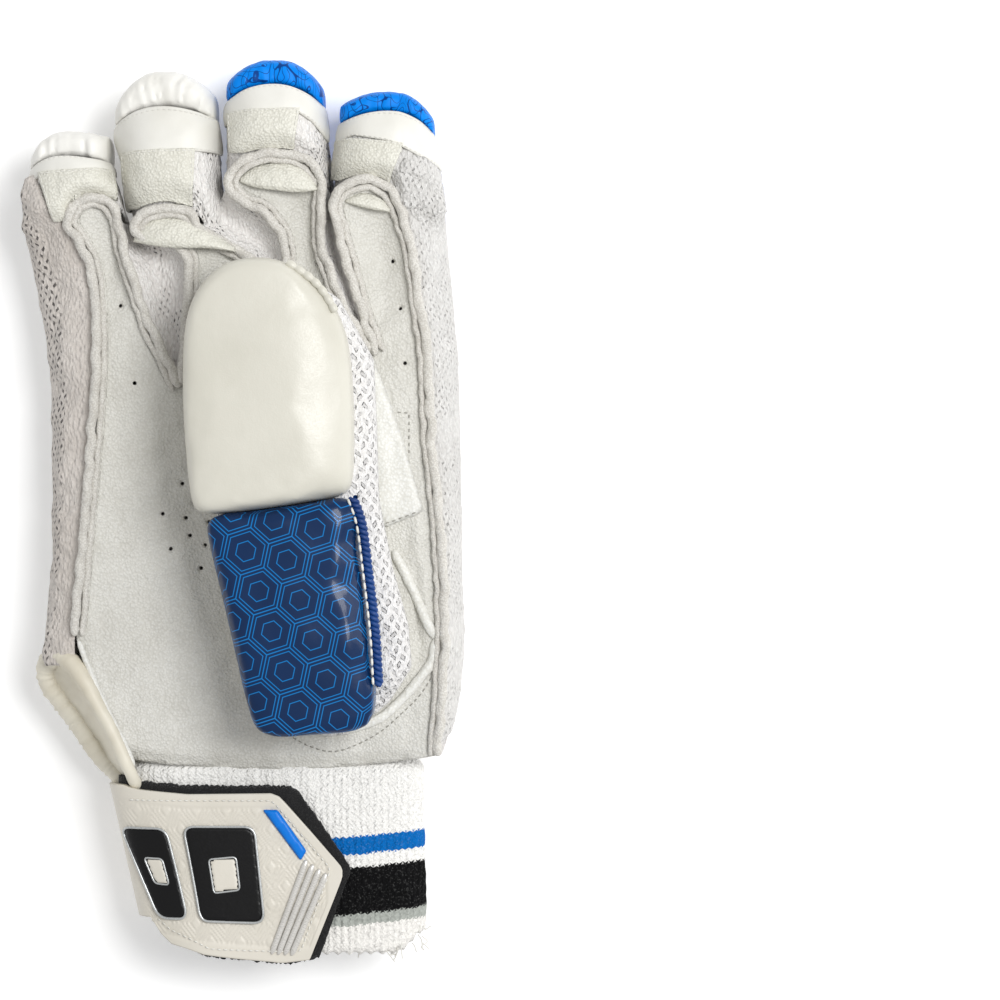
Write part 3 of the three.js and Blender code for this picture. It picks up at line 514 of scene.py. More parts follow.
def linear(r, g, b):
    """A screen colour from 0 to 1 as a shader colour."""
    return tuple(c / 12.92 if c <= 0.04045 else ((c + 0.055) / 1.055) ** 2.4 for c in (r, g, b))


def leather(name, light, dark, grain, depth, roughness=0.5, wear=0.35, **sockets):
    """Grained leather: domed pebbles of that size, pores, soft creases, uneven colour, and painted shade in
    the valleys between the pebbles.
    """
    paint = Paint(name, light, roughness, **sockets)
    pebbles = paint.domes(1 / grain)
    pores = paint.noise(2.3 / grain, 3.0, 0.6)
    creases = paint.noise(0.16 / grain, 4.0, 0.55, warp=0.6)
    paint.bump(creases, depth * 1.6)
    paint.bump(pebbles, depth)
    paint.bump(pores, depth * 0.4)
    patches = paint.ramp(paint.noise(45, 3.0, 0.55), 0.38, 0.72)
    shade = paint.maths("MULTIPLY", patches, wear)
    # Painted shade: the colour darkens in the valleys between the pebbles.
    valley = paint.ramp(pebbles, 0.35, 0.75, 0.45, 0.0)
    paint.use("Base Color", paint.color(paint.maths("ADD", shade, valley), light, dark))
    paint.use("Roughness", paint.ramp(pores, 0.3, 0.7, roughness - 0.07, roughness + 0.1))
    return paint.material


SLOT_SHADOW = linear(0.2, 0.18, 0.18)


def mesh_cloth(name, light, dark, pitch, slot=0.34, darkness=0.9, spread=(0.5, 0.6), tint=0.3, belt=None):
    """Knitted mesh: a fine knit with leaf-shaped slots in slanting rows, open only in places, where they
    are dented and painted dark as the shade inside them. A belt, its middle and half width across the
    cloth, keeps the slots inside it."""
    paint = Paint(name, light, 0.85, Sheen_Weight=0.15)
    split = paint.add("ShaderNodeSeparateXYZ", {0: paint.place(uv=True)}).outputs
    row = paint.maths("DIVIDE", split[1], pitch * 0.75)
    odd = paint.maths("FLOORED_MODULO", paint.maths("FLOOR", row), 2.0)
    across = paint.maths("ADD", paint.maths("DIVIDE", split[0], pitch), paint.maths("MULTIPLY", odd, 0.5))
    wander = paint.maths("MULTIPLY", paint.maths("SUBTRACT", paint.noise(0.7 / pitch), 0.5), 0.5)
    u = paint.maths("ADD", paint.maths("SUBTRACT", paint.maths("FRACT", across), 0.5), wander)
    v = paint.maths("SUBTRACT", paint.maths("FRACT", row), 0.5)
    lean = paint.maths("MULTIPLY", paint.maths("SUBTRACT", odd, 0.5), 0.7)
    u = paint.maths("ADD", u, paint.maths("MULTIPLY", lean, v))
    leaf = paint.maths("ADD", paint.maths("DIVIDE", paint.maths("ABSOLUTE", u), slot * 0.6),
                       paint.maths("DIVIDE", paint.maths("ABSOLUTE", v), slot * 1.25))
    open_share = paint.ramp(leaf, 0.55, 1.0, 1.0, 0.0)
    stretch = paint.ramp(paint.noise(60, 2.0), *spread)
    if belt is not None:
        off = paint.maths("ABSOLUTE", paint.maths("SUBTRACT", split[0], belt[0]))
        stretch = paint.maths("MULTIPLY", stretch, paint.ramp(off, belt[1] * 0.8, belt[1], 1.0, 0.0))
    loops = paint.domes(1 / (0.95 * MM), paint.place(scale=(1.0, 0.55, 1.0), turn=24))
    fuzz = paint.noise(2300, 3.0, 0.7)
    hollow = paint.maths("MULTIPLY", open_share, stretch)
    paint.bump(hollow, -0.7 * MM)
    paint.bump(loops, 0.7 * MM)
    paint.bump(fuzz, 0.3 * MM)
    # Painted shade: the knit darkens in the valleys between its loops; the stains are random tone.
    loop_valley_shade = paint.ramp(loops, 0.35, 0.8, 0.5, 0.0)
    stains = paint.ramp(paint.noise(30, 3.0), 0.4, 0.7, 0.0, tint)
    tone = paint.color(paint.maths("ADD", loop_valley_shade, stains), light, dark)
    # Painted shade: the open slots take a dark shadow colour.
    shadow = paint.maths("MULTIPLY", hollow, darkness)
    paint.use("Base Color", paint.color(shadow, tone, SLOT_SHADOW))
    return paint.material


def fleece(name, light, dark, size=0.55 * MM, depth=0.5 * MM):
    """Soft looped cloth, as on the rolled seams."""
    paint = Paint(name, light, 0.9, Sheen_Weight=0.2)
    loops = paint.domes(1 / size)
    fuzz = paint.noise(1.8 / size, 3.0, 0.7)
    paint.bump(loops, depth)
    paint.bump(fuzz, depth * 0.6)
    # Painted shade: the cloth darkens between its loops; the noise adds random uneven tone.
    tone = paint.maths("ADD", paint.ramp(loops, 0.3, 0.75, 0.85, 0.0),
                       paint.ramp(paint.noise(160, 3.0), 0.4, 0.7, 0.0, 0.3))
    paint.use("Base Color", paint.color(tone, light, dark))
    return paint.material


def vinyl(name, light, dark, roughness=0.42, grain=0.035 * MM, waves=0.12 * MM, **sockets):
    """Smooth coated cloth with a very fine surface and soft shading."""
    paint = Paint(name, light, roughness, **sockets)
    fine = paint.noise(1900, 2.0, 0.6)
    paint.bump(paint.noise(220, 3.0, 0.5), waves)
    paint.bump(fine, grain)
    share = paint.ramp(paint.noise(38, 3.0, 0.6), 0.35, 0.75, 0.0, 0.6)
    paint.use("Base Color", paint.color(share, light, dark))
    paint.use("Roughness", paint.ramp(fine, 0.3, 0.7, roughness - 0.05, roughness + 0.07))
    return paint.material


def contour_print(name, base, line):
    """A bright coated cloth with a print of thin wavering contour lines."""
    paint = Paint(name, base, 0.45, Specular_IOR_Level=0.12)
    lines = None
    for turn, scale, warp, count in ((20, 85, 1.2, 9.0), (-55, 60, 1.8, 7.0)):
        field = paint.noise(scale, 0.0, 0.0, warp, paint.place(turn=turn))
        wave = paint.maths("FRACT", paint.maths("MULTIPLY", field, count))
        edge = paint.maths("ABSOLUTE", paint.maths("SUBTRACT", wave, 0.5))
        near = paint.ramp(edge, 0.03, 0.07, 1.0, 0.0)
        lines = near if lines is None else paint.maths("MAXIMUM", lines, near)
    shade = paint.ramp(paint.noise(55, 2.0), 0.35, 0.7, 0.0, 0.35)
    ground = paint.color(shade, base, tuple(c * 0.75 for c in base))
    paint.use("Base Color", paint.color(paint.maths("MULTIPLY", lines, 0.85), ground, line))
    paint.bump(paint.noise(900, 2.0), 0.05 * MM)
    return paint.material


def hexagon_print(name, base, line, size, middle, top):
    """A glossy dark coated cloth printed with a plain honeycomb of thin double lines. Below the top
    level the print runs on down the sides, away from the middle."""
    paint = Paint(name, base, 0.34, Specular_IOR_Level=0.15, Coat_Weight=0.22, Coat_Roughness=0.1)
    place = paint.where.outputs["Object"]
    fall = paint.maths("SUBTRACT", top, paint.add("ShaderNodeSeparateXYZ", {0: place}).outputs[2])
    fall = paint.maths("MAXIMUM", fall, 0.0)
    out = paint.add("ShaderNodeVectorMath", {0: place, 1: middle}, operation="SUBTRACT").outputs[0]
    out = paint.add("ShaderNodeVectorMath", {0: out, 1: (1, 1, 0)}, operation="MULTIPLY").outputs[0]
    out = paint.add("ShaderNodeVectorMath", {0: out}, operation="NORMALIZE").outputs[0]
    out = paint.add("ShaderNodeVectorMath", {0: out, "Scale": fall}, operation="SCALE").outputs[0]
    unrolled = paint.add("ShaderNodeVectorMath", {0: place, 1: out}, operation="ADD").outputs[0]
    turned = paint.add("ShaderNodeMapping", {"Vector": unrolled, "Scale": (1, 1, 0),
                                             "Rotation": (0, 0, math.radians(12))}).outputs[0]
    split = paint.add("ShaderNodeSeparateXYZ", {0: turned}).outputs

    def to_edge(shift):
        """Distance to the border of one of the two interleaved hexagon grids, as a share."""
        def centred(value, period):
            moved = paint.maths("ADD", value, shift * period)
            return paint.maths("SUBTRACT", paint.maths("WRAP", moved, period, 0.0), period / 2)
        x = paint.maths("ABSOLUTE", centred(split[0], size))
        y = paint.maths("ABSOLUTE", centred(split[1], size * math.sqrt(3)))
        slant = paint.maths("ADD", paint.maths("MULTIPLY", x, 0.5),
                            paint.maths("MULTIPLY", y, math.sqrt(3) / 2))
        return paint.maths("MAXIMUM", x, slant)

    nearest = paint.maths("MINIMUM", to_edge(0.0), to_edge(0.5))
    depth = paint.maths("DIVIDE", nearest, size)
    lines = None
    for at, wide in ((0.5, 0.017), (0.42, 0.014), (0.22, 0.014)):
        off = paint.maths("ABSOLUTE", paint.maths("SUBTRACT", depth, at))
        near = paint.ramp(off, wide * 0.5, wide, 1.0, 0.0)
        lines = near if lines is None else paint.maths("MAXIMUM", lines, near)
    shade = paint.ramp(paint.noise(40, 2.0), 0.35, 0.7, 0.0, 0.4)
    ground = paint.color(shade, base, tuple(c * 0.7 for c in base))
    paint.use("Base Color", paint.color(paint.maths("MULTIPLY", lines, 0.8), ground, line))
    paint.bump(paint.noise(350, 2.0), 0.05 * MM)
    return paint.material


STRIPE_SLOPE = 0.09
STRIPE_BEND = 98 * STEP_X


def knit(name, stripes, rib):
    """Ribbed knit: stitches in V rows on upright ribs, with stripes across the length."""
    paint = Paint(name, stripes[0][1], 0.92, Specular_IOR_Level=0.15)
    split = paint.add("ShaderNodeSeparateXYZ", {0: paint.where.outputs["UV"]}).outputs
    place = paint.add("ShaderNodeSeparateXYZ", {0: paint.where.outputs["Object"]}).outputs
    column = paint.maths("FRACT", paint.maths("DIVIDE", split[0], rib))
    slope = paint.maths("ABSOLUTE", paint.maths("SUBTRACT", column, 0.5))
    row = paint.maths("FRACT", paint.maths("SUBTRACT", paint.maths("DIVIDE", split[1], rib * 0.62),
                                           paint.maths("MULTIPLY", slope, 1.6)))
    loop = paint.maths("ABSOLUTE", paint.maths("SUBTRACT", row, 0.5))
    fuzz = paint.noise(2400, 3.0, 0.7)
    loops = paint.domes(1050)
    paint.bump(loop, 0.3 * MM)
    paint.bump(slope, 0.3 * MM)
    paint.bump(loops, 0.42 * MM)
    paint.bump(fuzz, 0.22 * MM)
    jitter = paint.maths("MULTIPLY", paint.maths("SUBTRACT", loop, 0.25), 1.6 * MM)
    wave = paint.maths("MULTIPLY", paint.maths("SUBTRACT", paint.noise(220), 0.5), 1.4 * MM)
    rise = paint.maths("MULTIPLY", paint.maths("SUBTRACT", place[0], STRIPE_BEND), -STRIPE_SLOPE)
    slanted = paint.maths("ADD", place[1], paint.maths("MINIMUM", rise, 0.0))
    level = paint.maths("ADD", slanted, paint.maths("ADD", jitter, wave))
    tone = paint.color(0.0, stripes[0][1], stripes[0][1])
    for start, color in stripes[1:]:
        below = paint.ramp(level, start - 0.25 * MM, start + 0.25 * MM, 1.0, 0.0)
        tone = paint.color(below, tone, color)
    speckle = paint.ramp(paint.noise(1100, 2.0, 0.7), 0.5, 0.72, 0.0, 0.5)
    # Painted shade: darker in the valleys between the loops, with random speckle, of which only a share is
    # mixed in.
    loop_valley_shade = paint.ramp(loops, 0.35, 0.8, 0.5, 0.0)
    shaded = paint.add("ShaderNodeMix", {0: paint.maths("ADD", loop_valley_shade, speckle), 6: tone, 7: (0, 0, 0, 1)},
                       data_type="RGBA", blend_type="MULTIPLY", clamp_factor=True)
    dim = paint.add("ShaderNodeMix", {0: 0.14, 6: tone, 7: shaded.outputs[2]}, data_type="RGBA")
    flecks = paint.ramp(paint.noise(1500, 2.0, 0.7), 0.54, 0.72, 0.0, 0.06)
    paint.use("Base Color", paint.color(flecks, dim.outputs[2], linear(0.97, 0.97, 0.96)))
    return paint.material


def pile(name, color, tip):
    """Dark loop fabric with a dusty nap."""
    paint = Paint(name, color, 0.95, Sheen_Weight=0.2)
    loops = paint.cells(1700, "F1")
    paint.bump(loops, 0.4 * MM)
    paint.bump(paint.noise(3200, 2.0, 0.7), 0.2 * MM)
    paint.use("Base Color", paint.color(paint.ramp(loops, 0.15, 0.6, 0.0, 1.0), tip, color))
    return paint.material


PALM_LIGHT = linear(0.865, 0.86, 0.835)
PALM_DARK = linear(0.77, 0.76, 0.725)
CREAM = linear(0.89, 0.87, 0.81)
CREAM_DARK = linear(0.76, 0.72, 0.63)
IVORY = linear(0.82, 0.81, 0.765)
IVORY_DARK = linear(0.78, 0.77, 0.72)
MESH_LIGHT = linear(0.98, 0.975, 0.965)
MESH_DARK = linear(0.86, 0.84, 0.825)
BLUE = linear(0.0, 0.52, 0.92)
BLUE_LINE = linear(0.01, 0.14, 0.42)
NAVY = linear(0.03, 0.16, 0.32)
NAVY_LINE = linear(0.04, 0.50, 0.80)
BLACK = linear(0.04, 0.04, 0.045)
STRIPE_BLUE = linear(0.0, 0.42, 0.74)

palm_leather = leather("palm_leather", PALM_LIGHT, PALM_DARK, 0.8 * MM, 0.27 * MM, 0.44)
soft_leather = leather("soft_leather", linear(0.91, 0.91, 0.895), linear(0.81, 0.80, 0.76), 0.9 * MM,
                       0.12 * MM, 0.48, 0.25)
patch_leather = leather("patch_leather", linear(0.90, 0.895, 0.855), linear(0.79, 0.78, 0.73), 0.8 * MM,
                        0.30 * MM, 0.42, 0.25)
guard_ivory = vinyl("guard_ivory", IVORY, IVORY_DARK, 0.36)
band_vinyl = vinyl("band_vinyl", linear(0.90, 0.895, 0.87), linear(0.83, 0.82, 0.78), 0.45)
tip_white = vinyl("tip_white", linear(0.92, 0.915, 0.895), linear(0.85, 0.84, 0.80), 0.42)
tip_blue = contour_print("tip_blue", BLUE, BLUE_LINE)
guard_navy = hexagon_print("guard_navy", NAVY, NAVY_LINE, 13 * MM, (*plan((60, -105)), 0.0),
                           PALM_LEVEL + 1.12 * THUMB_DEPTH + GUARD_DEPTH - 3.4 * MM)
cream_lining = vinyl("cream_lining", CREAM, CREAM_DARK, 0.5, 0.05 * MM)
hand_mesh = mesh_cloth("hand_mesh", MESH_LIGHT, MESH_DARK, 2.5 * MM)
# The little finger's outer wall: a darker, pinker copy of the mesh, painted shade for the side turned away
# from the light.
shaded_side_mesh = mesh_cloth("shaded_side_mesh", linear(0.875, 0.85, 0.825), linear(0.79, 0.76, 0.73), 2.7 * MM,
                       0.4, 0.8, (0.3, 0.42), 0.5, (3 * MM, 6.0 * MM))
plain_mesh = mesh_cloth("plain_mesh", linear(0.90, 0.895, 0.885), linear(0.79, 0.78, 0.765), 2.2 * MM,
                        0.32, 0.16, (0.4, 0.6), 0.15)
thumb_mesh = mesh_cloth("thumb_mesh", linear(0.96, 0.955, 0.95), linear(0.86, 0.85, 0.84), 3.4 * MM,
                        0.5, 0.24, (0.3, 0.45), 0.1)
lip_cloth = fleece("lip_cloth", linear(0.88, 0.87, 0.845), linear(0.78, 0.765, 0.735), 0.6 * MM,
                   0.22 * MM)
thread = vinyl("thread", linear(0.90, 0.895, 0.87), linear(0.78, 0.77, 0.74), 0.6)
grey_thread = vinyl("grey_thread", linear(0.62, 0.61, 0.58), linear(0.5, 0.49, 0.46), 0.7)
rope_blue = vinyl("rope_blue", linear(0.03, 0.24, 0.50), linear(0.02, 0.12, 0.32), 0.5)
black_pile = pile("black_pile", BLACK, linear(0.11, 0.11, 0.115))
strap_rubber = vinyl("strap_rubber", linear(0.85, 0.83, 0.785), linear(0.81, 0.79, 0.74), 0.42)
plaque_black = vinyl("plaque_black", linear(0.05, 0.05, 0.055), linear(0.035, 0.035, 0.038), 0.34,
                     Specular_IOR_Level=0.25)
rib_silver = vinyl("rib_silver", linear(0.84, 0.83, 0.81), linear(0.76, 0.75, 0.73), 0.28, 0.006 * MM,
                   0.02 * MM, Metallic=0.3)
silver = vinyl("silver", linear(0.78, 0.79, 0.79), linear(0.66, 0.67, 0.67), 0.3, 0.01 * MM, 0.04 * MM,
               Metallic=0.6)
accent_blue = vinyl("accent_blue", linear(0.01, 0.47, 0.86), linear(0.01, 0.40, 0.76), 0.35,
                    Specular_IOR_Level=0.25)


# Palm

def palm_height(points):
    """The palm leather's height over plan points in metres."""
    x, y = to_steps(points[:, 0], points[:, 1])
    z = np.full(len(points), PALM_LEVEL)
    for at_x, at_y, wide, long, depth in PALM_DENTS:
        z -= depth * HAND_DEPTH * np.exp(-((x - at_x) / wide) ** 2 - ((y - at_y) / long) ** 2)
    return z


def fold_height(points):
    """The small folds on top of the palm's main shape."""
    steps = np.stack(to_steps(points[:, 0], points[:, 1]), 1)
    z = np.zeros(len(points))
    for start, end, wide, high in PALM_FOLDS:
        away = distance_to_line(steps, np.array([start, end], float))
        z += high * MM * np.exp(-(away / wide) ** 2)
    z += 0.16 * MM * ripples(steps * [1.0, 0.6], 30, 3) + 0.07 * MM * ripples(steps, 11, 4)
    hem = distance_to_line(steps, np.array(WRIST_EDGE[3:-1], float))
    return z - 2.6 * MM * np.exp(-(hem / 9) ** 2)


def seam_line(finger):
    """The seam up one side of a finger's strip, over its arch and down the other, in plan."""
    x, half, end, top = finger["arch"]
    angles = [math.pi * (1 - i / 4) for i in range(5)]
    arch = [(x + half * math.cos(a), end + (top - end) * math.sin(a)) for a in angles]
    return plan(catmull(finger["left"][::-1] + arch + finger["right"]))


def palm_outline():
    line = np.vstack([seam_line(FINGERS[name]) for name in NAMES] + [plan(WRIST_EDGE[::-1])])
    return evenly(line, 1.3 * MM, closed=True)


def perforations():
    holes = LOOSE_HOLES + [(STAR["x"], STAR["y"])]
    for arm in range(STAR["arms"]):
        angle = math.radians(STAR["turn"] + 360 * arm / STAR["arms"])
        for ring in range(1, STAR["rings"] + 1):
            out = STAR["reach"] * ring / STAR["rings"]
            holes.append((STAR["x"] + out * math.cos(angle), STAR["y"] + out * math.sin(angle)))
    return plan(holes)


def field_mesh(outline, holes, spacing, hole_radius=0.0):
    """Even triangles inside an outline, around round holes: 2-D points and faces."""
    low, high = outline.min(0), outline.max(0)
    rows = int((high[1] - low[1]) / (spacing * 0.866)) + 2
    columns = int((high[0] - low[0]) / spacing) + 2
    y, x = np.mgrid[0:rows, 0:columns].astype(float)
    x = low[0] + (x + 0.5 * (y % 2)) * spacing
    y = low[1] + y * spacing * 0.866
    inner = np.stack([x.ravel(), y.ravel()], 1)
    inner = inner[inside(inner, outline)]
    ring = np.vstack([outline, outline[0]])
    inner = inner[distance_to_line(inner, ring) > spacing * 0.55]
    loops = [outline]
    for centre in holes:
        inner = inner[np.linalg.norm(inner - centre, axis=1) > hole_radius + spacing * 0.45]
        loops.append(centre + circle(hole_radius, 12))
    points = np.vstack(loops + [inner])
    edges, start = [], 0
    for loop in loops:
        size = len(loop)
        edges += [(start + i, start + (i + 1) % size) for i in range(size)]
        start += size
    result = geometry.delaunay_2d_cdt([Vector(p) for p in points], edges, [], 1, 1e-7)
    flat = np.array([tuple(p) for p in result[0]])
    faces = [tuple(face) for face in result[2]]
    middles = np.array([flat[list(face)].mean(0) for face in faces])
    keep = np.ones(len(faces), bool)
    for centre in holes:
        keep &= np.linalg.norm(middles - centre, axis=1) > hole_radius * 0.95
    keep &= inside(middles, outline)
    return flat, [face for face, ok in zip(faces, keep) if ok]


def palm_top(points):
    return palm_height(points) + fold_height(points)


def on_palm(flat, height):
    """Points that height over the palm's top."""
    return np.column_stack([flat, palm_top(flat) + height])


def build_palm():
    flat, faces = field_mesh(palm_outline(), perforations(), 1.3 * MM, HOLE_RADIUS)
    points = on_palm(flat, 0)
    palm = make_object("palm_skin", points, faces, palm_leather, flat)
    thicken(palm, 1.2 * MM)
    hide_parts("palm_leather")


# Rolled seams

def soft_roll(name, route, radius, material, seed, sides=12, uneven=0.12, squash=1.0):
    """A soft round roll along a route, a little uneven."""
    rings = sweep_rings(route, circle(radius, sides, squash))
    centre = route[:, None]
    coarse, fine = ripples(rings, 5.5 * MM, seed), ripples(rings, 2.1 * MM, seed + 9)
    swell = 1 + uneven * coarse * 0.5 + uneven * 0.5 * fine
    ends = np.minimum(np.arange(len(route)), np.arange(len(route))[::-1]) / 4
    taper = np.sqrt(np.clip(ends + 0.12, 0, 1))[:, None]
    rings = centre + (rings - centre) * (swell * taper)[..., None]
    return loft_object(name, rings, material)


def beside(line, offset):
    """A line in plan moved sideways, to its right where the offset is positive."""
    along = np.gradient(line, axis=0)
    along /= np.maximum(np.linalg.norm(along, axis=1), 1e-12)[:, None]
    return line + np.column_stack([along[:, 1], -along[:, 0]]) * offset


def build_lips():
    for number, name in enumerate(NAMES):
        line = evenly(seam_line(FINGERS[name]), 0.6 * MM)
        outer = beside(line, -0.45 * MM)
        route = np.column_stack([outer, palm_height(line) + LIP])
        route += 0.22 * MM * ripples(route, 9 * MM, 18 + number)[:, None]
        lip = soft_roll(f"{name}_lip", route, 1.55 * MM, lip_cloth, 20 + number, 14)
        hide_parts(f"{name}_seam_lip")
        inner = beside(line, 1.75 * MM)
        route = np.column_stack([inner, palm_height(inner) + 1.15 * MM])
        route += 0.15 * MM * ripples(route, 7 * MM, 28 + number)[:, None]
        fold = soft_roll(f"{name}_inner_lip", route, 1.05 * MM, lip_cloth, 40 + number, 10)
        edge = beside(line, 3.2 * MM)[4:-4]
        row = on_palm(edge, 0.1 * MM)
        seam = stitches(f"{name}_lip_stitches", row, thread, "lip")


# Stuffing

STUFFING_FRAMES = 20
STUFFING_PRESSURE = 4
pads = []


def stuffed(obj, voxel, cap, smoothing=0):
    """Keep a padded piece for the simulation."""
    pads.append((obj, voxel, cap, smoothing))


def point_array(mesh):
    flat = np.zeros(len(mesh.vertices) * 3)
    mesh.vertices.foreach_get("co", flat)
    return flat.reshape(-1, 3)


def blow_up_pads():
    """Swell every pad as a cloth under pressure, all in one simulation, by its cap at most."""
    scene = bpy.context.scene
    for obj, voxel, _, smoothing in pads:
        even = obj.modifiers.new("even", "REMESH")
        even.mode = "VOXEL"
        even.voxel_size = voxel
        if smoothing:
            soft = obj.modifiers.new("soft", "SMOOTH")
            soft.iterations = smoothing
    graph = bpy.context.evaluated_depsgraph_get()
    meshes = [bpy.data.meshes.new_from_object(obj.evaluated_get(graph)) for obj, *_ in pads]
    starts = []
    for (obj, _, cap, _), mesh in zip(pads, meshes):
        obj.modifiers.clear()
        obj.data = mesh
        mesh.polygons.foreach_set("use_smooth", [True] * len(mesh.polygons))
        normals = np.array([vertex.normal for vertex in mesh.vertices])
        points = point_array(mesh) - normals * cap * 0.5
        mesh.vertices.foreach_set("co", points.ravel())
        starts.append(points)
        cloth = obj.modifiers.new("stuffing", "CLOTH")
        cloth.settings.quality = 4
        cloth.settings.use_pressure = True
        cloth.settings.uniform_pressure_force = STUFFING_PRESSURE
        cloth.settings.effector_weights.gravity = 0
        cloth.point_cache.frame_end = STUFFING_FRAMES
    for frame in range(1, STUFFING_FRAMES + 1):
        scene.frame_set(frame)
    graph = bpy.context.evaluated_depsgraph_get()
    ends = [point_array(obj.evaluated_get(graph).data) for obj, *_ in pads]
    for (obj, _, cap, _), start, end in zip(pads, starts, ends):
        obj.modifiers.clear()
        moved = end - start
        length = np.maximum(np.linalg.norm(moved, axis=1), 1e-9)[:, None]
        points = start + moved / length * cap * np.tanh(length / cap)
        points[:, 2] = np.maximum(points[:, 2], 0)
        obj.data.vertices.foreach_set("co", points.ravel())
        obj.data.update()
        refine(obj)
    scene.frame_set(1)


# Fingertip hoods

def band_y(finger, share):
    left_y, top, right_y = finger["band"][1], finger["band"][2], finger["band"][4]
    level = mix(left_y, right_y, share)
    return level + (top - level) * (1 - (2 * share - 1) ** 2)


def tip_y(finger, share):
    left_y, top, right_y = finger["tip"]
    level = mix(left_y, right_y, share)
    return level + (top - level) * (1 - np.abs(2 * share - 1) ** 2.4)


def front_y(finger, x):
    middle, half, end, top = finger["arch"]
    reach = half + (LIP + CLEARANCE) / STEP_X
    rise = top - end + (LIP + CLEARANCE) / STEP_Y
    opening = np.maximum(0, 1 - ((x - middle) / reach) ** 2)
    return end + CLEARANCE / STEP_Y + rise * np.sqrt(opening)


def hood_point(finger, u, v):
    """A point of a fingertip hood: u across from left to right, v from the arch to the band."""
    angle = math.pi * (1 - u)
    across = (1 + power(np.cos(angle), 0.7)) / 2
    up = np.maximum(np.sin(angle), 0) ** 0.7
    front = mix(finger["front"][0], finger["front"][1], across)
    x = mix(front, mix(finger["band"][0], finger["band"][3], across), v)
    y = mix(front_y(finger, front), band_y(finger, across), v)
    depth = mix(TIP_DEPTH, BAND_DEPTH, np.maximum(v, 0) ** 1.5)
    depth = mix(HAND_DEPTH + 0.6 * MM, depth, smooth_step(-0.02, 0.3, v))
    z = INSIDE_FLOOR + depth * up
    return surface(x, y, z)


def hood_share(finger, points):
    """The u and v of plan points, in steps, on a hood."""
    x, y = points[..., 0], points[..., 1]
    v = np.full(x.shape, 0.5)
    for _ in range(4):
        left = mix(finger["front"][0], finger["band"][0], v)
        right = mix(finger["front"][1], finger["band"][3], v)
        across = np.clip((x - left) / (right - left), 0, 1)
        front = mix(finger["front"][0], finger["front"][1], across)
        start = front_y(finger, front)
        v = (y - start) / (band_y(finger, across) - start)
    angle = np.arccos(np.clip(power(2 * across - 1, 1 / 0.7), -1, 1))
    return 1 - angle / math.pi, v


def normals_of(grid):
    du = np.gradient(grid, axis=1)
    dv = np.gradient(grid, axis=0)
    normal = np.cross(du, dv)
    return normal / np.maximum(np.linalg.norm(normal, axis=2, keepdims=True), 1e-12)


def edge_profile(rows, columns, across, along, rounding):
    """How high a laid panel stands at each grid point: full inside, rounded down at its border."""
    u = np.linspace(0, 1, columns)
    v = np.linspace(0, 1, rows)
    from_side = np.minimum(u, 1 - u)[None] * across
    from_end = np.minimum(v, 1 - v)[:, None] * along
    away = np.clip(np.minimum(from_side, from_end) / rounding, 0, 1)
    return np.sqrt(1 - (1 - away) ** 2)


def clustered(count, strength=0.55):
    """Numbers from 0 to 1 that lie closer together at both ends."""
    t = np.linspace(0, 1, count)
    return mix(t, t * t * (3 - 2 * t), strength)


def build_hoods():
    for number, (name, finger) in enumerate(FINGERS.items()):
        columns, rows = GRIDS["hood"]
        u, v = np.meshgrid(np.linspace(0, 1, columns), np.linspace(-0.03, 1, rows))
        hood = hood_point(finger, u, v)
        wrinkles = 0.4 * ripples(hood, 9 * MM, 60 + number) + 0.3 * ripples(hood, 3.5 * MM, 64 + number)
        push = wrinkles * 0.5 * MM * np.sin(math.pi * np.clip(v, 0, 1))
        hood = hood + normals_of(hood) * push[..., None]
        cover = sheet_object(f"{name}_hood", hood, hand_mesh if name != "index" else plain_mesh, 1.1 * MM)
        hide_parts(f"{name}_tip_cover")

        low = np.array(finger["band_low"], float)
        columns, rows = GRIDS["band"]
        u = np.tile(np.linspace(0.02, 0.98, columns), (rows, 1))
        start = np.full(columns, 0.6)
        for _ in range(6):
            across = (1 + power(np.cos(math.pi * (1 - u[0])), 0.7)) / 2
            front = mix(finger["front"][0], finger["front"][1], across)
            x = mix(front, mix(finger["band"][0], finger["band"][3], across), start)
            from_y = front_y(finger, front)
            start = (np.interp(x, low[:, 0], low[:, 1]) - from_y) / (band_y(finger, across) - from_y)
        v = mix(start[None], 1.03, clustered(rows)[:, None])
        band = hood_point(finger, u, v)
        profile = edge_profile(rows, columns, 60 * MM, 14 * MM, 0.9 * MM)
        belly = np.sin(math.pi * np.clip((v - start[None]) / (1.03 - start[None]), 0, 1))
        soft = 0.12 * MM * ripples(band, 12 * MM, 70 + number)
        lift = 0.35 * MM + 0.55 * MM * profile + 0.45 * MM * belly + soft * profile
        band = band + normals_of(band) * lift[..., None]
        strip = sheet_object(f"{name}_band", band, band_vinyl, 1.0 * MM)
        for row, label in ((2, "low"), (-4, "high")):
            line = band[row, 8:-8] + [0, 0, 0.08 * MM]
            seam = stitches(f"{name}_band_{label}_stitches", line, thread, "band")

        a, b, c, d = (np.array(corner, float) for corner in finger["patch"])
        columns, rows = GRIDS["patch"]
        s, t = np.meshgrid(clustered(columns), clustered(rows))
        s, t = s[..., None], t[..., None]
        flat = mix(mix(a, b, s), mix(d, c, s), t)
        pu, pv = hood_share(finger, flat)
        patch = hood_point(finger, pu, np.maximum(pv, 0.02))
        profile = edge_profile(rows, columns, 22 * MM, 14 * MM, 0.7 * MM)
        lift = 0.7 * MM + 0.9 * MM * profile + 0.10 * MM * ripples(patch, 8 * MM, 80 + number)
        patch = patch + normals_of(patch) * lift[..., None]
        piece = sheet_object(f"{name}_patch", patch, patch_leather, 1.0 * MM)
        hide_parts(f"{name}_tip_patch")
        for line, label in ((patch[-4, 3:-3], "top"), (patch[4:-3, 3], "left"), (patch[4:-3, -4], "right")):
            seam = stitches(f"{name}_patch_{label}_stitches", line + [0, 0, 0.08 * MM], thread,
                            "patch")


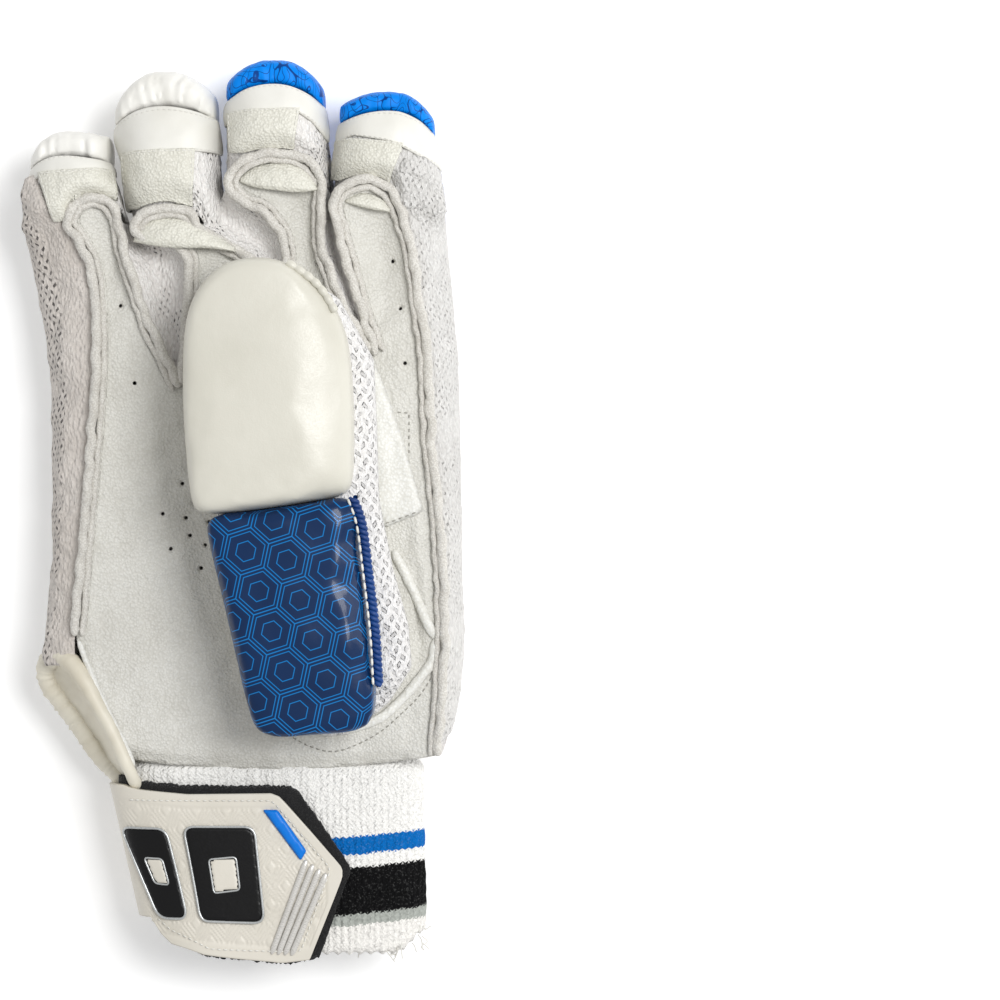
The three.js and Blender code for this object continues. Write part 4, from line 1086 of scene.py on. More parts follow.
def build_tongues():
    """The leather tongues under the arches, their lower edge free and bulging."""
    for number, (name, finger) in enumerate(FINGERS.items()):
        if finger["tongue"] is None:
            continue
        columns, rows = GRIDS["tongue"]
        top, low = (plan(dense(finger["tongue"][side], columns - 1)) for side in ("top", "low"))
        s = np.linspace(0, 1, columns)[None]
        t = np.linspace(0, 1, rows)[:, None]
        flat = mix(top[None], low[None], t[..., None])
        under = palm_height(top).max()
        belly = np.sin(math.pi * s) ** 0.5
        rise = finger["tongue"]["lift"] * MM * belly * np.sin(math.pi / 2 * np.clip(t * 1.15, 0, 1)) ** 0.8
        curl = 0.9 * MM * smooth_step(0.85, 1.0, t)
        z = under - 0.3 * MM + rise - curl + 0.12 * MM * ripples(flat, 7 * MM, 84 + number)
        grid = np.concatenate([flat, z[..., None]], -1)
        tongue = sheet_object(f"{name}_tongue", grid, patch_leather, 1.1 * MM, offset=1.0)


def build_tips():
    for number, (name, finger) in enumerate(FINGERS.items()):
        rng = np.random.default_rng(90 + number)
        columns, around = GRIDS["tip"]
        station = np.linspace(-1, 1, columns)
        share = (station + 1) / 2
        full = 1 - 0.35 * np.abs(station) ** 8
        near = band_y(finger, share) * STEP_Y + CLEARANCE
        far = np.maximum(tip_y(finger, share) * STEP_Y, near + 2 * MM)
        x = mix(finger["band"][0], finger["band"][3], share) * STEP_X
        height = INSIDE_FLOOR + BAND_DEPTH
        angle = np.arange(around) / around * 2 * math.pi
        count = dict(little=10, ring=13).get(name, 9)
        pleats = rng.uniform(0.4, 1.7, count).cumsum()
        pleats = pleats / pleats[-1]
        gap = 1 / count
        rings = []
        for column in range(columns):
            square = np.where(np.cos(angle) < 0, 0.4, 0.75)
            across = (power(np.cos(angle), square) + 1) / 2
            y = near[column] + (far[column] - near[column]) * across
            z = 0.52 * height + full[column] * height * 0.46 * power(np.sin(angle), square)
            rings.append(np.stack([np.full(around, x[column]), y, z], 1))
        rings = np.array(rings)
        rings[..., :2] += SHIFT
        centre = rings.mean(1, keepdims=True)
        out = rings - centre
        out /= np.maximum(np.linalg.norm(out, axis=2, keepdims=True), 1e-9)
        fan = 0.30 * (share[:, None] - 0.5) * np.clip(np.sin(angle), 0, 1)[None]
        spots = np.stack(np.broadcast_arrays(share[:, None] * 3, angle), -1)
        wander = 0.024 * ripples(spots, 2.2, 94 + number)
        place = share[:, None] + wander - fan * 0.4
        nearest = np.min(np.abs(place[..., None] - pleats[None, None]), axis=2)
        valley = np.exp(-(nearest / (gap * 0.16)) ** 2)
        swell = np.sin(np.clip(nearest / (gap * 0.5), 0, 1) * math.pi / 2)
        depth = np.where(np.sin(angle) > 0, mix(1.0, 0.5, (np.cos(angle) + 1) / 2), 0.45)
        depth = depth * smooth_step(-1.0, -0.6, np.cos(angle))
        unlike = 0.75 + 0.35 * ripples(place[..., None], 0.21, 99 + number, 5)
        strength = (1.0 if finger["cloth"] == "white" else 0.5) * np.clip(unlike, 0.2, 1.3)
        push = (1.2 * swell - 1.3 * valley - 0.5) * depth[None] * strength * MM
        ends = np.clip(1 - np.abs(station) ** 8, 0, 1)[:, None]
        rings = rings + out * (push * ends)[..., None]
        tip = loft_object(f"{name}_tip", rings, tip_blue if finger["cloth"] == "blue" else tip_white)
        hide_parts(f"{name}_tip_roll")
        stuffed(tip, 0.95 * MM, 0.5 * MM)


# Mesh walls

def dense(points, count):
    line = catmull(points)
    return evenly(line, np.linalg.norm(np.diff(line, axis=0), axis=1).sum() / count)


SIDE_TOPS = {
    "little": [(-204, 336), (-194, 312), (-184, 296), (-172, 284)],
    "index": [(164, 358), (157, 343), (152, 328), (157, 304)],
}
SIDE_FALLS = dict(little=15, index=20)


def build_gussets():
    for number, (left_name, right_name) in enumerate(zip(NAMES, NAMES[1:])):
        left, right = FINGERS[left_name], FINGERS[right_name]
        start_left = (left["arch"][0] + left["arch"][1], left["arch"][2])
        start_right = (right["arch"][0] - right["arch"][1], right["arch"][2])
        columns, rows = GRIDS["web"]
        a = plan(dense([start_left] + left["right"], rows))[: rows + 1]
        b = plan(dense([start_right] + right["left"], rows))[: rows + 1]
        u = np.linspace(0.03, 0.97, columns)
        flat = mix(a[:, None], b[:, None], u[None, :, None])
        edge = mix(palm_height(a)[:, None], palm_height(b)[:, None], u[None])
        along = np.linspace(0, 1, rows + 1)[:, None]
        depth = 0.55 * HAND_DEPTH * (1 - along) ** 0.6 * np.sin(math.pi * u)[None]
        z = np.maximum(edge - depth, INSIDE_FLOOR + 3.2 * MM)
        grid = np.concatenate([flat, z[..., None]], -1)
        folds = 0.5 * ripples(grid, 11 * MM, 110 + number) + 0.25 * ripples(grid, 4 * MM, 114 + number)
        grid[..., 2] += folds * 0.6 * MM * np.sin(math.pi * u)[None]
        name = f"gusset_{left_name}_{right_name}"
        gusset = sheet_object(f"{name}_cloth", grid, hand_mesh, 1.2 * MM)
        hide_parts(name)
    for name, side, low_y, edge_column, cloth in (("little", -1, -156, 1, shaded_side_mesh),
                                                  ("index", 1, -244, 2, plain_mesh)):
        finger = FINGERS[name]
        seam = finger["left"] if side < 0 else finger["right"]
        path = np.array(SIDE_TOPS[name] + seam + [(seam[-1][0], low_y)], float)
        path = path[np.argsort(path[:, 1])]
        high_y = path[-1, 1]
        columns, rows = GRIDS["side_wall"]
        v = np.linspace(0, 1, rows)[:, None]
        u = np.linspace(0, 1, columns)[None]
        y = mix(high_y - SIDE_FALLS[name] * u, low_y, v)
        smooth = catmull(path)
        top_x = np.interp(y, smooth[:, 1], smooth[:, 0]) + side * 2 * CLEARANCE / STEP_X
        low_x = np.interp(y, SIDE_EDGES[:, 0], SIDE_EDGES[:, edge_column]) + side * 1.5
        bend = u * math.pi / 2
        arch_end = finger["arch"][2]
        over_hood = smooth_step(arch_end - 16, arch_end + 14, y[:, :1])
        box = mix(0.9, 0.5, over_hood)
        low_x = low_x + side * over_hood * smooth_step(high_y, high_y - 30, y)
        closed = smooth_step(-222, -246, y) * (side > 0)
        low_x, top_x = low_x - 14 * closed, top_x - 8 * closed
        x = mix(top_x, low_x, np.sin(bend) ** box)
        steps = np.stack([top_x, y], -1)[:, :1]
        palm_z = palm_height(plan(steps).reshape(-1, 2)).reshape(-1, 1) - CLEARANCE
        hood_z = hood_point(finger, *hood_share(finger, steps))[..., 2] + 0.5 * MM
        top_z = mix(palm_z, np.maximum(hood_z, palm_z), over_hood)
        top_z = top_z - 1.2 * MM * smooth_step(high_y - 14, high_y, y[:, :1])
        z = mix(INSIDE_FLOOR, top_z, np.maximum(np.cos(bend), 0) ** box)
        grid = surface(x, y, z)
        bulge = 0.8 * ripples(grid * [1, 0.7, 1], 13 * MM, 120 + edge_column)
        bulge = bulge + 0.45 * ripples(grid, 5 * MM, 124 + edge_column)
        grid += normals_of(grid) * (bulge * 0.6 * MM * np.sin(math.pi * u) * side * -1)[..., None]
        wall = sheet_object(f"gusset_{name}_outer_cloth", grid, cloth, 1.2 * MM, offset=side * 1.0)
        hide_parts(f"gusset_{name}_outer")


# Back of the hand

def edges_at(y):
    return [np.interp(y, SIDE_EDGES[:, 0], SIDE_EDGES[:, side]) for side in (1, 2)]


def build_back():
    outline = []
    for finger in FINGERS.values():
        left, left_y, top, right, right_y = finger["band"]
        outline += [(finger["base"][0], FINGER_BASE), (left, left_y), ((left + right) / 2, top),
                    (right, right_y), (finger["base"][1], FINGER_BASE)]
    below = [row for row in SIDE_EDGES if row[0] < FINGER_BASE]
    outline += [(row[2], row[0]) for row in below[::-1]]
    outline += [(row[1], row[0]) for row in below]
    flat, faces = field_mesh(evenly(plan(outline), 2.2 * MM, closed=True), [], 2.2 * MM)
    points = np.column_stack([flat, np.full(len(flat), back_high[2])])
    back = make_object("back_cloth", points, faces, hand_mesh, flat)
    thicken(back, back_high[2] - back_low[2])
    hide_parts("hand_back")


def pillow(name, low_y, high_y, edges, material, seed):
    """A stuffed roll across the back, sewn flat at its long edges."""
    columns, around = GRIDS["pillow"]
    station = np.linspace(-1, 1, columns)
    middle, half = (low_y + high_y) / 2, (high_y - low_y) / 2 - CLEARANCE / STEP_Y
    angle = np.arange(around) / around * 2 * math.pi
    size = (1 - np.abs(station) ** 5 * 0.75)[:, None]
    y = middle + half * power(np.cos(angle), 0.75)[None] * mix(1, size, 0.5)
    left, right = edges(y)
    x = mix(left, right, (station[:, None] + 1) / 2)
    z = ROLL_HEIGHT * (0.5 + 0.5 * power(np.sin(angle), 0.8)[None])
    z = ROLL_HEIGHT - (ROLL_HEIGHT - z) * size
    grid = surface(x, y, z)
    centre = grid.mean(1, keepdims=True)
    crease = ripples(grid * [1, 0.25, 0.4], 7 * MM, seed) * 0.014
    grid = centre + (grid - centre) * (0.985 + np.clip(crease, -0.03, 0.012))[..., None]
    grid[..., 2] = np.clip(grid[..., 2], 0, ROLL_HEIGHT - 0.1 * MM)
    obj = loft_object(name, grid, material)
    stuffed(obj, 2.2 * MM, 0.9 * MM, 2)
    return obj


def build_rolls():
    for number, (name, finger) in enumerate(FINGERS.items()):
        top_y = min(finger["band"][1], finger["band"][4])
        mean_y = (finger["band"][1] + finger["band"][4]) / 2
        middle_y = (top_y + FINGER_BASE) / 2

        def edges(y, finger=finger, mean_y=mean_y):
            share = (y - FINGER_BASE) / (mean_y - FINGER_BASE)
            return (mix(finger["base"][0], finger["band"][0], share) + 3,
                    mix(finger["base"][1], finger["band"][3], share) - 3)

        blue = finger["cloth"] == "blue"
        cloth = tip_blue if blue else tip_white
        mid = pillow(f"{name}_mid_roll", middle_y, top_y, edges, cloth, 130 + number)
        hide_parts(f"{name}_roll_mid")
        base = pillow(f"{name}_base_roll", FINGER_BASE, middle_y, edges, tip_white, 140 + number)
        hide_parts(f"{name}_roll_base")
    pads = 5
    end = -246
    for pad in range(pads):
        high = mix(FINGER_BASE, end, pad / pads)
        low = mix(FINGER_BASE, end, (pad + 1) / pads)

        def edges(y):
            left, right = edges_at(y)
            return left + 10, right - 10

        obj = pillow(f"back_roll_{pad + 1}", low, high, edges, tip_white, 150 + pad)
        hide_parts(f"back_pad_{pad + 1}")


# Thumb

def stall_point(u, v, half):
    """The thumb stall's surface: u round it, v from its tip to its base; half is upper or lower."""
    row = v * (len(STALL_ROWS) - 1)
    index = np.arange(len(STALL_ROWS))
    columns = [np.interp(row, index, STALL_ROWS[:, i]) for i in range(5)]
    y, left, right, low, high = columns
    low = PALM_LEVEL + low * THUMB_DEPTH
    high = PALM_LEVEL + CLEARANCE + high * THUMB_DEPTH
    angle = math.pi * (1 - u) if half > 0 else -math.pi * (1 - u)
    x = (left + right) / 2 + (right - left) / 2 * power(np.cos(angle), 0.8)
    z = (low + high) / 2 + (high - low) / 2 * power(np.sin(angle), 0.8)
    return surface(x, y, z)


def build_stall():
    for name, half, material, node in (("thumb_mesh_side", 1, thumb_mesh, "thumb_stall"),
                                       ("thumb_leather_side", -1, soft_leather, "thumb_palm_side")):
        columns, rows = GRIDS["stall"]
        u, v = np.meshgrid(np.linspace(0, 1, columns), np.linspace(0, 1, rows))
        grid = stall_point(u, v, half)
        wrinkle = 0.7 * ripples(grid * [1, 0.5, 1], 9 * MM, 160) + 0.4 * ripples(grid, 4.0 * MM, 161)
        grid += normals_of(grid) * (0.6 * MM * wrinkle * half * np.sin(math.pi * u))[..., None]
        obj = sheet_object(name, grid, material, 1.4 * MM, offset=-1.0 * half)
        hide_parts(node)


def cushion(name, outline, spine, base_z, wall_z, crown, near, material, count=34):
    """A pad from a closed outline to a spine: a wall up to the shoulder, then the crown. crown gives
    the height over plan points and near the rounding radius."""
    spine = np.asarray(spine, float)
    way = spine[1] - spine[0]
    share = np.clip(((outline - spine[0]) @ way) / (way @ way), 0, 1)
    target = spine[0] + share[:, None] * way
    reach = np.linalg.norm(outline - target, axis=1)
    rings = [np.column_stack([mix(outline, target, share), np.full(len(outline), base_z)])
             for share in (0.9, 0.4)]
    for level in np.linspace(0.0, 1, 7):
        rings.append(np.column_stack([outline, mix(base_z, wall_z, level) * np.ones(len(outline))]))
    for step in np.linspace(0, 1, count)[1:]:
        inner = step ** 1.7
        flat = mix(outline, target, inner)
        away = inner * reach
        rise = np.clip(away / near, 0, 1)
        profile = np.sqrt(np.maximum(1 - (1 - rise) ** 2, 0))
        top = crown(flat)
        rings.append(np.column_stack([flat, mix(wall_z, top, profile)]))
    obj = loft_object(name, np.array(rings), material, last_cap=False)
    welded = bmesh.new()
    welded.from_mesh(obj.data)
    bmesh.ops.delete(welded, geom=[v for v in welded.verts if not v.link_faces], context="VERTS")
    bmesh.ops.remove_doubles(welded, verts=welded.verts, dist=0.06 * MM)
    welded.to_mesh(obj.data)
    welded.free()
    return obj


GUARD_BASE_Z = PALM_LEVEL + 0.58 * THUMB_DEPTH
GUARD_TOP_Z = PALM_LEVEL + 1.12 * THUMB_DEPTH + 0.6 * MM + GUARD_DEPTH

GUARD_TIP_OUTLINE = [
    (24, 247), (-4, 243), (-24, 230), (-40, 208), (-48, 180), (-50, 140), (-49, 90), (-46, 50), (-42, 12),
    (-38, 0), (-27, -4), (20, 0), (80, 9), (105, 14), (113, 22), (116, 60), (115, 110), (111, 160),
    (102, 190), (90, 211), (72, 227), (48, 243),
]
GUARD_BASE_OUTLINE = [
    (-18, -5), (20, -1), (80, 8), (108, 13), (117, 8), (122, -40), (128, -90), (134, -150), (137, -190),
    (132, -208), (118, -215), (80, -219), (36, -220), (22, -213), (14, -190), (2, -140), (-12, -80),
    (-24, -30), (-27, -12),
]


def build_guards():
    outline = drawn(GUARD_TIP_OUTLINE, 1.1 * MM, closed=True)
    steps = np.stack(to_steps(outline[:, 0], outline[:, 1]), 1)
    rightness = smooth_step(60, 112, steps[:, 0])
    near = mix(3.2 * MM, 15 * MM, rightness)

    def crown(flat):
        x, y = to_steps(flat[:, 0], flat[:, 1])
        level = GUARD_TOP_Z - 1.6 * MM * smooth_step(150, 247, y) - 0.9 * MM * ((x - 30) / 80) ** 2
        return level + 0.10 * MM * ripples(flat, 22 * MM, 170)

    tip = cushion("thumb_guard_ivory", outline, plan([(20, 180), (25, 70)]), GUARD_BASE_Z,
                  GUARD_TOP_Z - 9 * MM, crown, near, guard_ivory)
    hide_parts("thumb_guard_tip")
    stuffed(tip, 1.8 * MM, 0.35 * MM, 4)

    outline = drawn(GUARD_BASE_OUTLINE, 1.1 * MM, closed=True)
    steps = np.stack(to_steps(outline[:, 0], outline[:, 1]), 1)
    rightness = smooth_step(90, 130, steps[:, 0])
    near = mix(2.6 * MM, 8 * MM, rightness)

    def crown_base(flat):
        x, y = to_steps(flat[:, 0], flat[:, 1])
        level = GUARD_TOP_Z - 1.2 * MM - 1.0 * MM * ((x - 60) / 80) ** 2
        level = level - 1.6 * MM * smooth_step(-120, -215, y)
        return level + 0.10 * MM * ripples(flat, 18 * MM, 171)

    base = cushion("thumb_guard_navy", outline, plan([(55, -40), (75, -170)]), GUARD_BASE_Z,
                   GUARD_TOP_Z - 6 * MM, crown_base, near, guard_navy)
    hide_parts("thumb_guard_base")
    stuffed(base, 1.8 * MM, 0.35 * MM, 2)


GATHER_PITCH = 3.2 * MM
ROPE_TURN = 3.4 * MM
ROPE_LINE = [(116, 12), (124, -10), (131, -60), (138, -120), (141, -170)]
GUARD_GATHERS = [(52, 241), (66, 232), (80, 221), (91, 207), (99, 193)]
THUMB_WELT = [(194, -129), (191, -151), (175, -173), (158, -192), (142, -206), (114, -217), (87, -222)]
THUMB_SEAMS = [
    [(198, -142), (194, -159), (180, -184), (158, -206), (142, -220), (120, -233), (92, -242), (67, -236),
     (45, -224)],
    [(190, -140), (184, -158), (168, -178), (150, -196), (132, -209), (104, -219), (80, -224)],
]
STALL_RIDGE = [(152, -40), (170, -76), (186, -112), (194, -129)]


def build_thumb_trim():
    line = plan(catmull(ROPE_LINE))
    z = np.full(len(line), GUARD_TOP_Z - 6.5 * MM)
    route = evenly(np.column_stack([line, z]), 0.3 * MM)
    strands = []
    for strand in range(2):
        phase = np.arange(len(route)) * 0.3 * MM / ROPE_TURN * 2 * math.pi + strand * math.pi
        _, side, top = route_frames(route)
        offset = 0.85 * MM * (side * np.cos(phase)[:, None] + top * np.sin(phase)[:, None])
        rings = sweep_rings(route + offset, circle(0.8 * MM, 8))
        strands.append((rings.reshape(-1, 3), grid_faces(len(route), 8, wrap=True)))
    rope = join("thumb_rope", strands, rope_blue)
    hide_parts("thumb_binding")
    row = route + [-1.6 * MM, 0, 2.2 * MM]
    seam = stitches("thumb_rope_stitches", row, thread, "rope")

    flat = drawn(GUARD_GATHERS, 0.25 * MM)
    along = np.arange(len(flat)) * 0.25 * MM
    route = np.column_stack([flat, GUARD_TOP_Z - 5.6 * MM + 0 * along])
    scallops = 0.8 + 0.3 * np.abs(np.sin(along / GATHER_PITCH * math.pi))
    rings = sweep_rings(route, circle(1.25 * MM, 12), scallops)
    gathers = loft_object("thumb_guard_gathers", rings, guard_ivory)

    flat = drawn(THUMB_WELT, 0.8 * MM)
    welt = soft_roll("thumb_welt", on_palm(flat, 0.55 * MM), 1.6 * MM,
                     soft_leather, 176, 14, 0.08, 0.75)
    flat = drawn(STALL_RIDGE, 0.8 * MM)
    ridge = soft_roll("thumb_ridge", on_palm(flat, 0.3 * MM), 1.6 * MM,
                      soft_leather, 178, 12, 0.08, 0.8)
    for number, points in enumerate(THUMB_SEAMS):
        flat = drawn(points, 0.8 * MM)
        row = on_palm(flat, 0.1 * MM)
        seam = stitches(f"thumb_seam_{number + 1}", row, grey_thread, "thumb")


# Palm flap beside the thumb, the wrist slit, cuff and strap

FLAP = [(108, 190), (128, 165), (146, 118), (162, 70), (183, 0), (178, -4), (143, -18), (118, 10),
        (108, 60)]
FLAP_SEAMS = [[(136, -12), (144, -14), (176, -2)]]
PALM_SEAMS = [[(155, 98), (168, 97)], [(168, 97), (168, 55)]]


def build_flap():
    outline = evenly(plan(FLAP), 1.2 * MM, closed=True)
    flat, faces = field_mesh(outline, [], 1.4 * MM)
    ring = np.vstack([outline, outline[0]])
    away = np.clip(distance_to_line(flat, ring) / (0.9 * MM), 0, 1)
    lift = 0.35 * MM + 1.0 * MM * np.sqrt(1 - (1 - away) ** 2)
    z = palm_height(flat) + fold_height(flat) + lift + 0.15 * MM * ripples(flat, 14 * MM, 175)
    flap = make_object("thumb_flap", np.column_stack([flat, z]), faces, soft_leather, flat)
    thicken(flap, 0.9 * MM)
    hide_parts("thumb_patch")
    for number, points in enumerate(FLAP_SEAMS):
        row = on_palm(evenly(plan(points), 0.8 * MM), 1.45 * MM)
        seam = stitches(f"flap_seam_{number + 1}", row, grey_thread, "flap")
    for number, points in enumerate(PALM_SEAMS):
        row = on_palm(evenly(plan(points), 0.8 * MM), 0.12 * MM)
        seam = stitches(f"palm_seam_{number + 1}", row, grey_thread, "palm")


# The wrist slit's rolled edge: place, and its height as a share of the palm's
SLIT = [
    (-103, -284, 0.35), (-108, -270, 0.8), (-114, -254, 1), (-123, -233, 1), (-132, -215, 1),
    (-143, -195, 1), (-155, -174, 0.95), (-166, -158, 0.85), (-179, -148, 0.62), (-192, -149, 0.34),
    (-200, -160, 0.12), (-198, -176, 0.02), (-186, -193, 0), (-172, -212, 0), (-158, -232, 0),
    (-144, -252, 0), (-127, -270, 0.1), (-111, -288, 0.2),
]
SLIT_PIPING = [(-163, -130), (-147, -172), (-135, -198), (-121, -226), (-107, -256)]
INNER_LEG_END = 0.40
OUTER_LEG_START = 0.44


def build_slit():
    flat = plan([row[:2] for row in SLIT])
    lift = np.array([row[2] for row in SLIT])
    z = mix(np.full(len(flat), INSIDE_FLOOR), palm_height(flat), lift) + 2.5 * MM
    knots = np.column_stack([flat, z])
    route = evenly(catmull(knots), 0.6 * MM)
    share = np.linspace(0, 1, len(route))
    radius = mix(2.0, 3.4, smooth_step(0.22, 0.55, share)) - 0.8 * smooth_step(0.8, 1.0, share)
    sides = 22
    rings = sweep_rings(route, circle(1.0 * MM, sides), radius)
    pleats = ripples(np.column_stack([share * 118]), 2.2, 182, 5) * smooth_step(0.3, 0.5, share)
    swell = 1 + 0.045 * pleats[:, None] + 0.03 * ripples(rings, 6 * MM, 183)
    rings = route[:, None] + (rings - route[:, None]) * swell[..., None]
    roll = loft_object("slit_roll", rings, cream_lining)
    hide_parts("slit_binding")
    inner = route[: int(len(route) * INNER_LEG_END)]
    outer = route[int(len(route) * OUTER_LEG_START):][::-1]
    columns, count = GRIDS["slit"]
    a = inner[np.linspace(0, len(inner) - 1, count).astype(int)]
    b = outer[np.linspace(0, len(outer) - 1, count).astype(int)]
    u = np.linspace(0, 1, columns)
    grid = mix(a[:, None], b[:, None], u[None, :, None])
    hollow = np.sin(math.pi * u)[None] ** 0.7
    grid[..., 2] -= (4.6 * hollow * np.sin(math.pi * np.linspace(0.12, 1, count))[:, None] + 0.6) * MM
    creases = 0.6 * ripples(grid * [0.3, 1, 0.3], 4.0 * MM, 184, 5) + 0.6 * ripples(grid, 8 * MM, 185)
    grid[..., 2] += 0.35 * MM * creases * hollow
    lining = sheet_object("slit_cloth", grid, cream_lining, 1.2 * MM)
    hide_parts("slit_lining")
    flat = drawn(SLIT_PIPING, 0.7 * MM)
    route = np.column_stack([flat, palm_height(flat) + 0.9 * MM])
    piping = soft_roll("slit_piping", route, 1.0 * MM, soft_leather, 186, 10, 0.1)


CUFF = dict(left=-113, right=186, top=-250, end=-445)
CUFF_THREADS = 16
CUFF_RIB = 2.2 * MM
SLEEVE_POWER = 0.5
PULL = dict(most=34, start=8, length=150)
SLEEVE_X = (CUFF["left"] + CUFF["right"]) / 2 * STEP_X + SHIFT[0]
SLEEVE_HALF_X = (CUFF["right"] - CUFF["left"]) / 2 * STEP_X
CUFF_BOTTOM = 4.8 * MM
CUFF_TOP = PALM_LEVEL - 1.56 * MM
SLEEVE_Z = (CUFF_BOTTOM + CUFF_TOP) / 2
SLEEVE_HALF_Z = (CUFF_TOP - CUFF_BOTTOM) / 2

# The strap's face and its backing: place across, top and bottom
STRAP_ROWS = np.array([
    (-113, -276, -408), (-106, -278, -424), (-96, -280, -434), (-51, -284, -444), (30, -283, -451),
    (38, -286, -452), (44, -292, -452), (69, -320, -449), (95, -350, -384), (100, -356, -371),
    (101.5, -360, -366),
])
BACKING_ROWS = np.array([
    (-113, -268, -398), (-106, -270, -414), (-96, -272, -430), (-51, -276, -446), (30, -276, -453),
    (50, -277, -454), (57, -282, -453), (79, -312, -447), (104, -349, -375), (108, -356, -366),
    (109, -359, -363),
])


def pull_in(x, y):
    """The pull of the strap: the sleeve's left side slants inwards towards its lower end."""
    down = np.clip((STRAP_ROWS[0, 1] - (y - SHIFT[1]) / STEP_Y) / PULL["length"], 0, 1.1)
    left = 1 - smooth_step(SLEEVE_X - SLEEVE_HALF_X, SLEEVE_X - 0.2 * SLEEVE_HALF_X, x)
    return x + (PULL["most"] * down - PULL["start"]) * STEP_X * left


def sleeve_point(angle, out):
    return (SLEEVE_X + (SLEEVE_HALF_X + out) * power(np.cos(angle), SLEEVE_POWER),
            SLEEVE_Z + (SLEEVE_HALF_Z + out) * power(np.sin(angle), SLEEVE_POWER))


def even_angles(count, start=0.0, end=2 * math.pi):
    """Angles that step evenly along the sleeve's outline."""
    angle = np.linspace(start, end, 4001)
    x, z = sleeve_point(angle, 0)
    along = np.concatenate([[0], np.cumsum(np.hypot(np.diff(x), np.diff(z)))])
    return np.interp(np.linspace(0, along[-1], count), along, angle), along[-1]


def build_cuff():
    columns, rows = GRIDS["cuff"]
    angle, around = even_angles(columns + 1)
    angle = angle[:-1]
    ribs = np.cos(np.arange(columns) / columns * round(around / CUFF_RIB) * 2 * math.pi)
    y = np.linspace(CUFF["end"] * STEP_Y, (CUFF["top"] + 3) * STEP_Y, rows) + SHIFT[1]
    v = np.linspace(0, 1, rows)
    hem = np.minimum(1, np.sqrt(np.clip(v / 0.02, 0.05, 1)))
    out = 0.17 * MM * ribs[None] * (smooth_step(0.02, 0.1, v) * (1.3 - smooth_step(0.3, 0.6, v)))[:, None]
    out = out - 0.9 * MM
    out = out - 1.2 * MM * (1 - hem)[:, None] - 2 * MM * smooth_step(0.93, 0.98, v)[:, None]
    x, z = sleeve_point(angle[None], out)
    x = pull_in(x, y[:, None])
    corner = smooth_step(SLEEVE_X + 0.72 * SLEEVE_HALF_X, SLEEVE_X + SLEEVE_HALF_X, x)
    left_side = 1 - smooth_step(SLEEVE_X - 0.9 * SLEEVE_HALF_X, SLEEVE_X - 0.2 * SLEEVE_HALF_X, x)
    lifted = y[:, None] + (7 * corner ** 2 + 7 * left_side) * MM * (1 - v[:, None]) ** 3
    grid = np.stack([x, lifted, z], -1)
    wave = 0.45 * MM * ripples(grid * [1, 0.4, 1], 26 * MM, 190) + 0.15 * MM * ripples(grid, 7 * MM, 191)
    middle = np.array([SLEEVE_X, 0, SLEEVE_Z]) * [1, 0, 1]
    away = grid * [1, 0, 1] - middle
    away /= np.linalg.norm(away, axis=2, keepdims=True)
    grid = grid + away * wave[..., None]
    grid[0, :, 1] += 0.5 * MM * np.sin(np.arange(columns) * 0.9)
    faces = grid_faces(rows, columns, wrap=True)
    u = np.tile(np.arange(columns) / columns * around, (rows, 1))
    uv = np.stack([u, np.repeat(y[:, None], columns, 1)], 2).reshape(-1, 2)
    cuff = make_object("knit_cuff", grid.reshape(-1, 3), faces, cuff_knit, uv)
    thicken(cuff, 2.0 * MM, 1.0)
    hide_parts("cuff")

    rng = np.random.default_rng(195)
    parts = []
    for _ in range(CUFF_THREADS):
        x = rng.uniform(150, 186) if rng.uniform() < 0.75 else rng.uniform(60, 150)
        y = rng.uniform(-441, -434) if x < 176 else rng.uniform(-438, -410)
        start = np.array([*plan((x, y)), CUFF_TOP - rng.uniform(1, 12) * MM])
        way = rng.normal(size=3) * [1, 0.8, 0.4] + [0.6 if x > 170 else 0, -1.1, -0.3]
        bend = rng.normal(size=3) * [1, 1, 0.5]
        length = rng.uniform(2.5, 5.5) * MM
        t = np.linspace(0, 1, 12)[:, None]
        curl = bend * np.sin(t * math.pi * rng.uniform(0.8, 1.8)) * 0.35
        route = start + length * (way * t / np.linalg.norm(way) + curl * t)
        rings = sweep_rings(route, circle(0.2 * MM, 5))
        parts.append((rings.reshape(-1, 3), grid_faces(12, 5, wrap=True)))
    fray = join("cuff_threads", parts, thread)


def stripe_y(pixel):
    """A height in the photo, counted in its pixels from the top, as a place along the glove."""
    return (PHOTO_ORIGIN[1] - pixel) * STEP_Y + SHIFT[1]


cuff_knit = knit("cuff_knit", [
    (0, linear(0.985, 0.98, 0.965)),
    (stripe_y(839), STRIPE_BLUE), (stripe_y(857), linear(0.985, 0.98, 0.965)),
    (stripe_y(870), BLACK), (stripe_y(917), linear(0.70, 0.715, 0.69)),
    (stripe_y(928), linear(0.975, 0.965, 0.945)),
], CUFF_RIB)

TOP_SIDE_END = 0.93 * math.pi
STRAP_LAST = 1.5 * math.pi
BACKING_OUT = CLEARANCE
FACE_OUT = 1.6 * MM + 2 * CLEARANCE
STRAP_WALL = 2.6 * MM


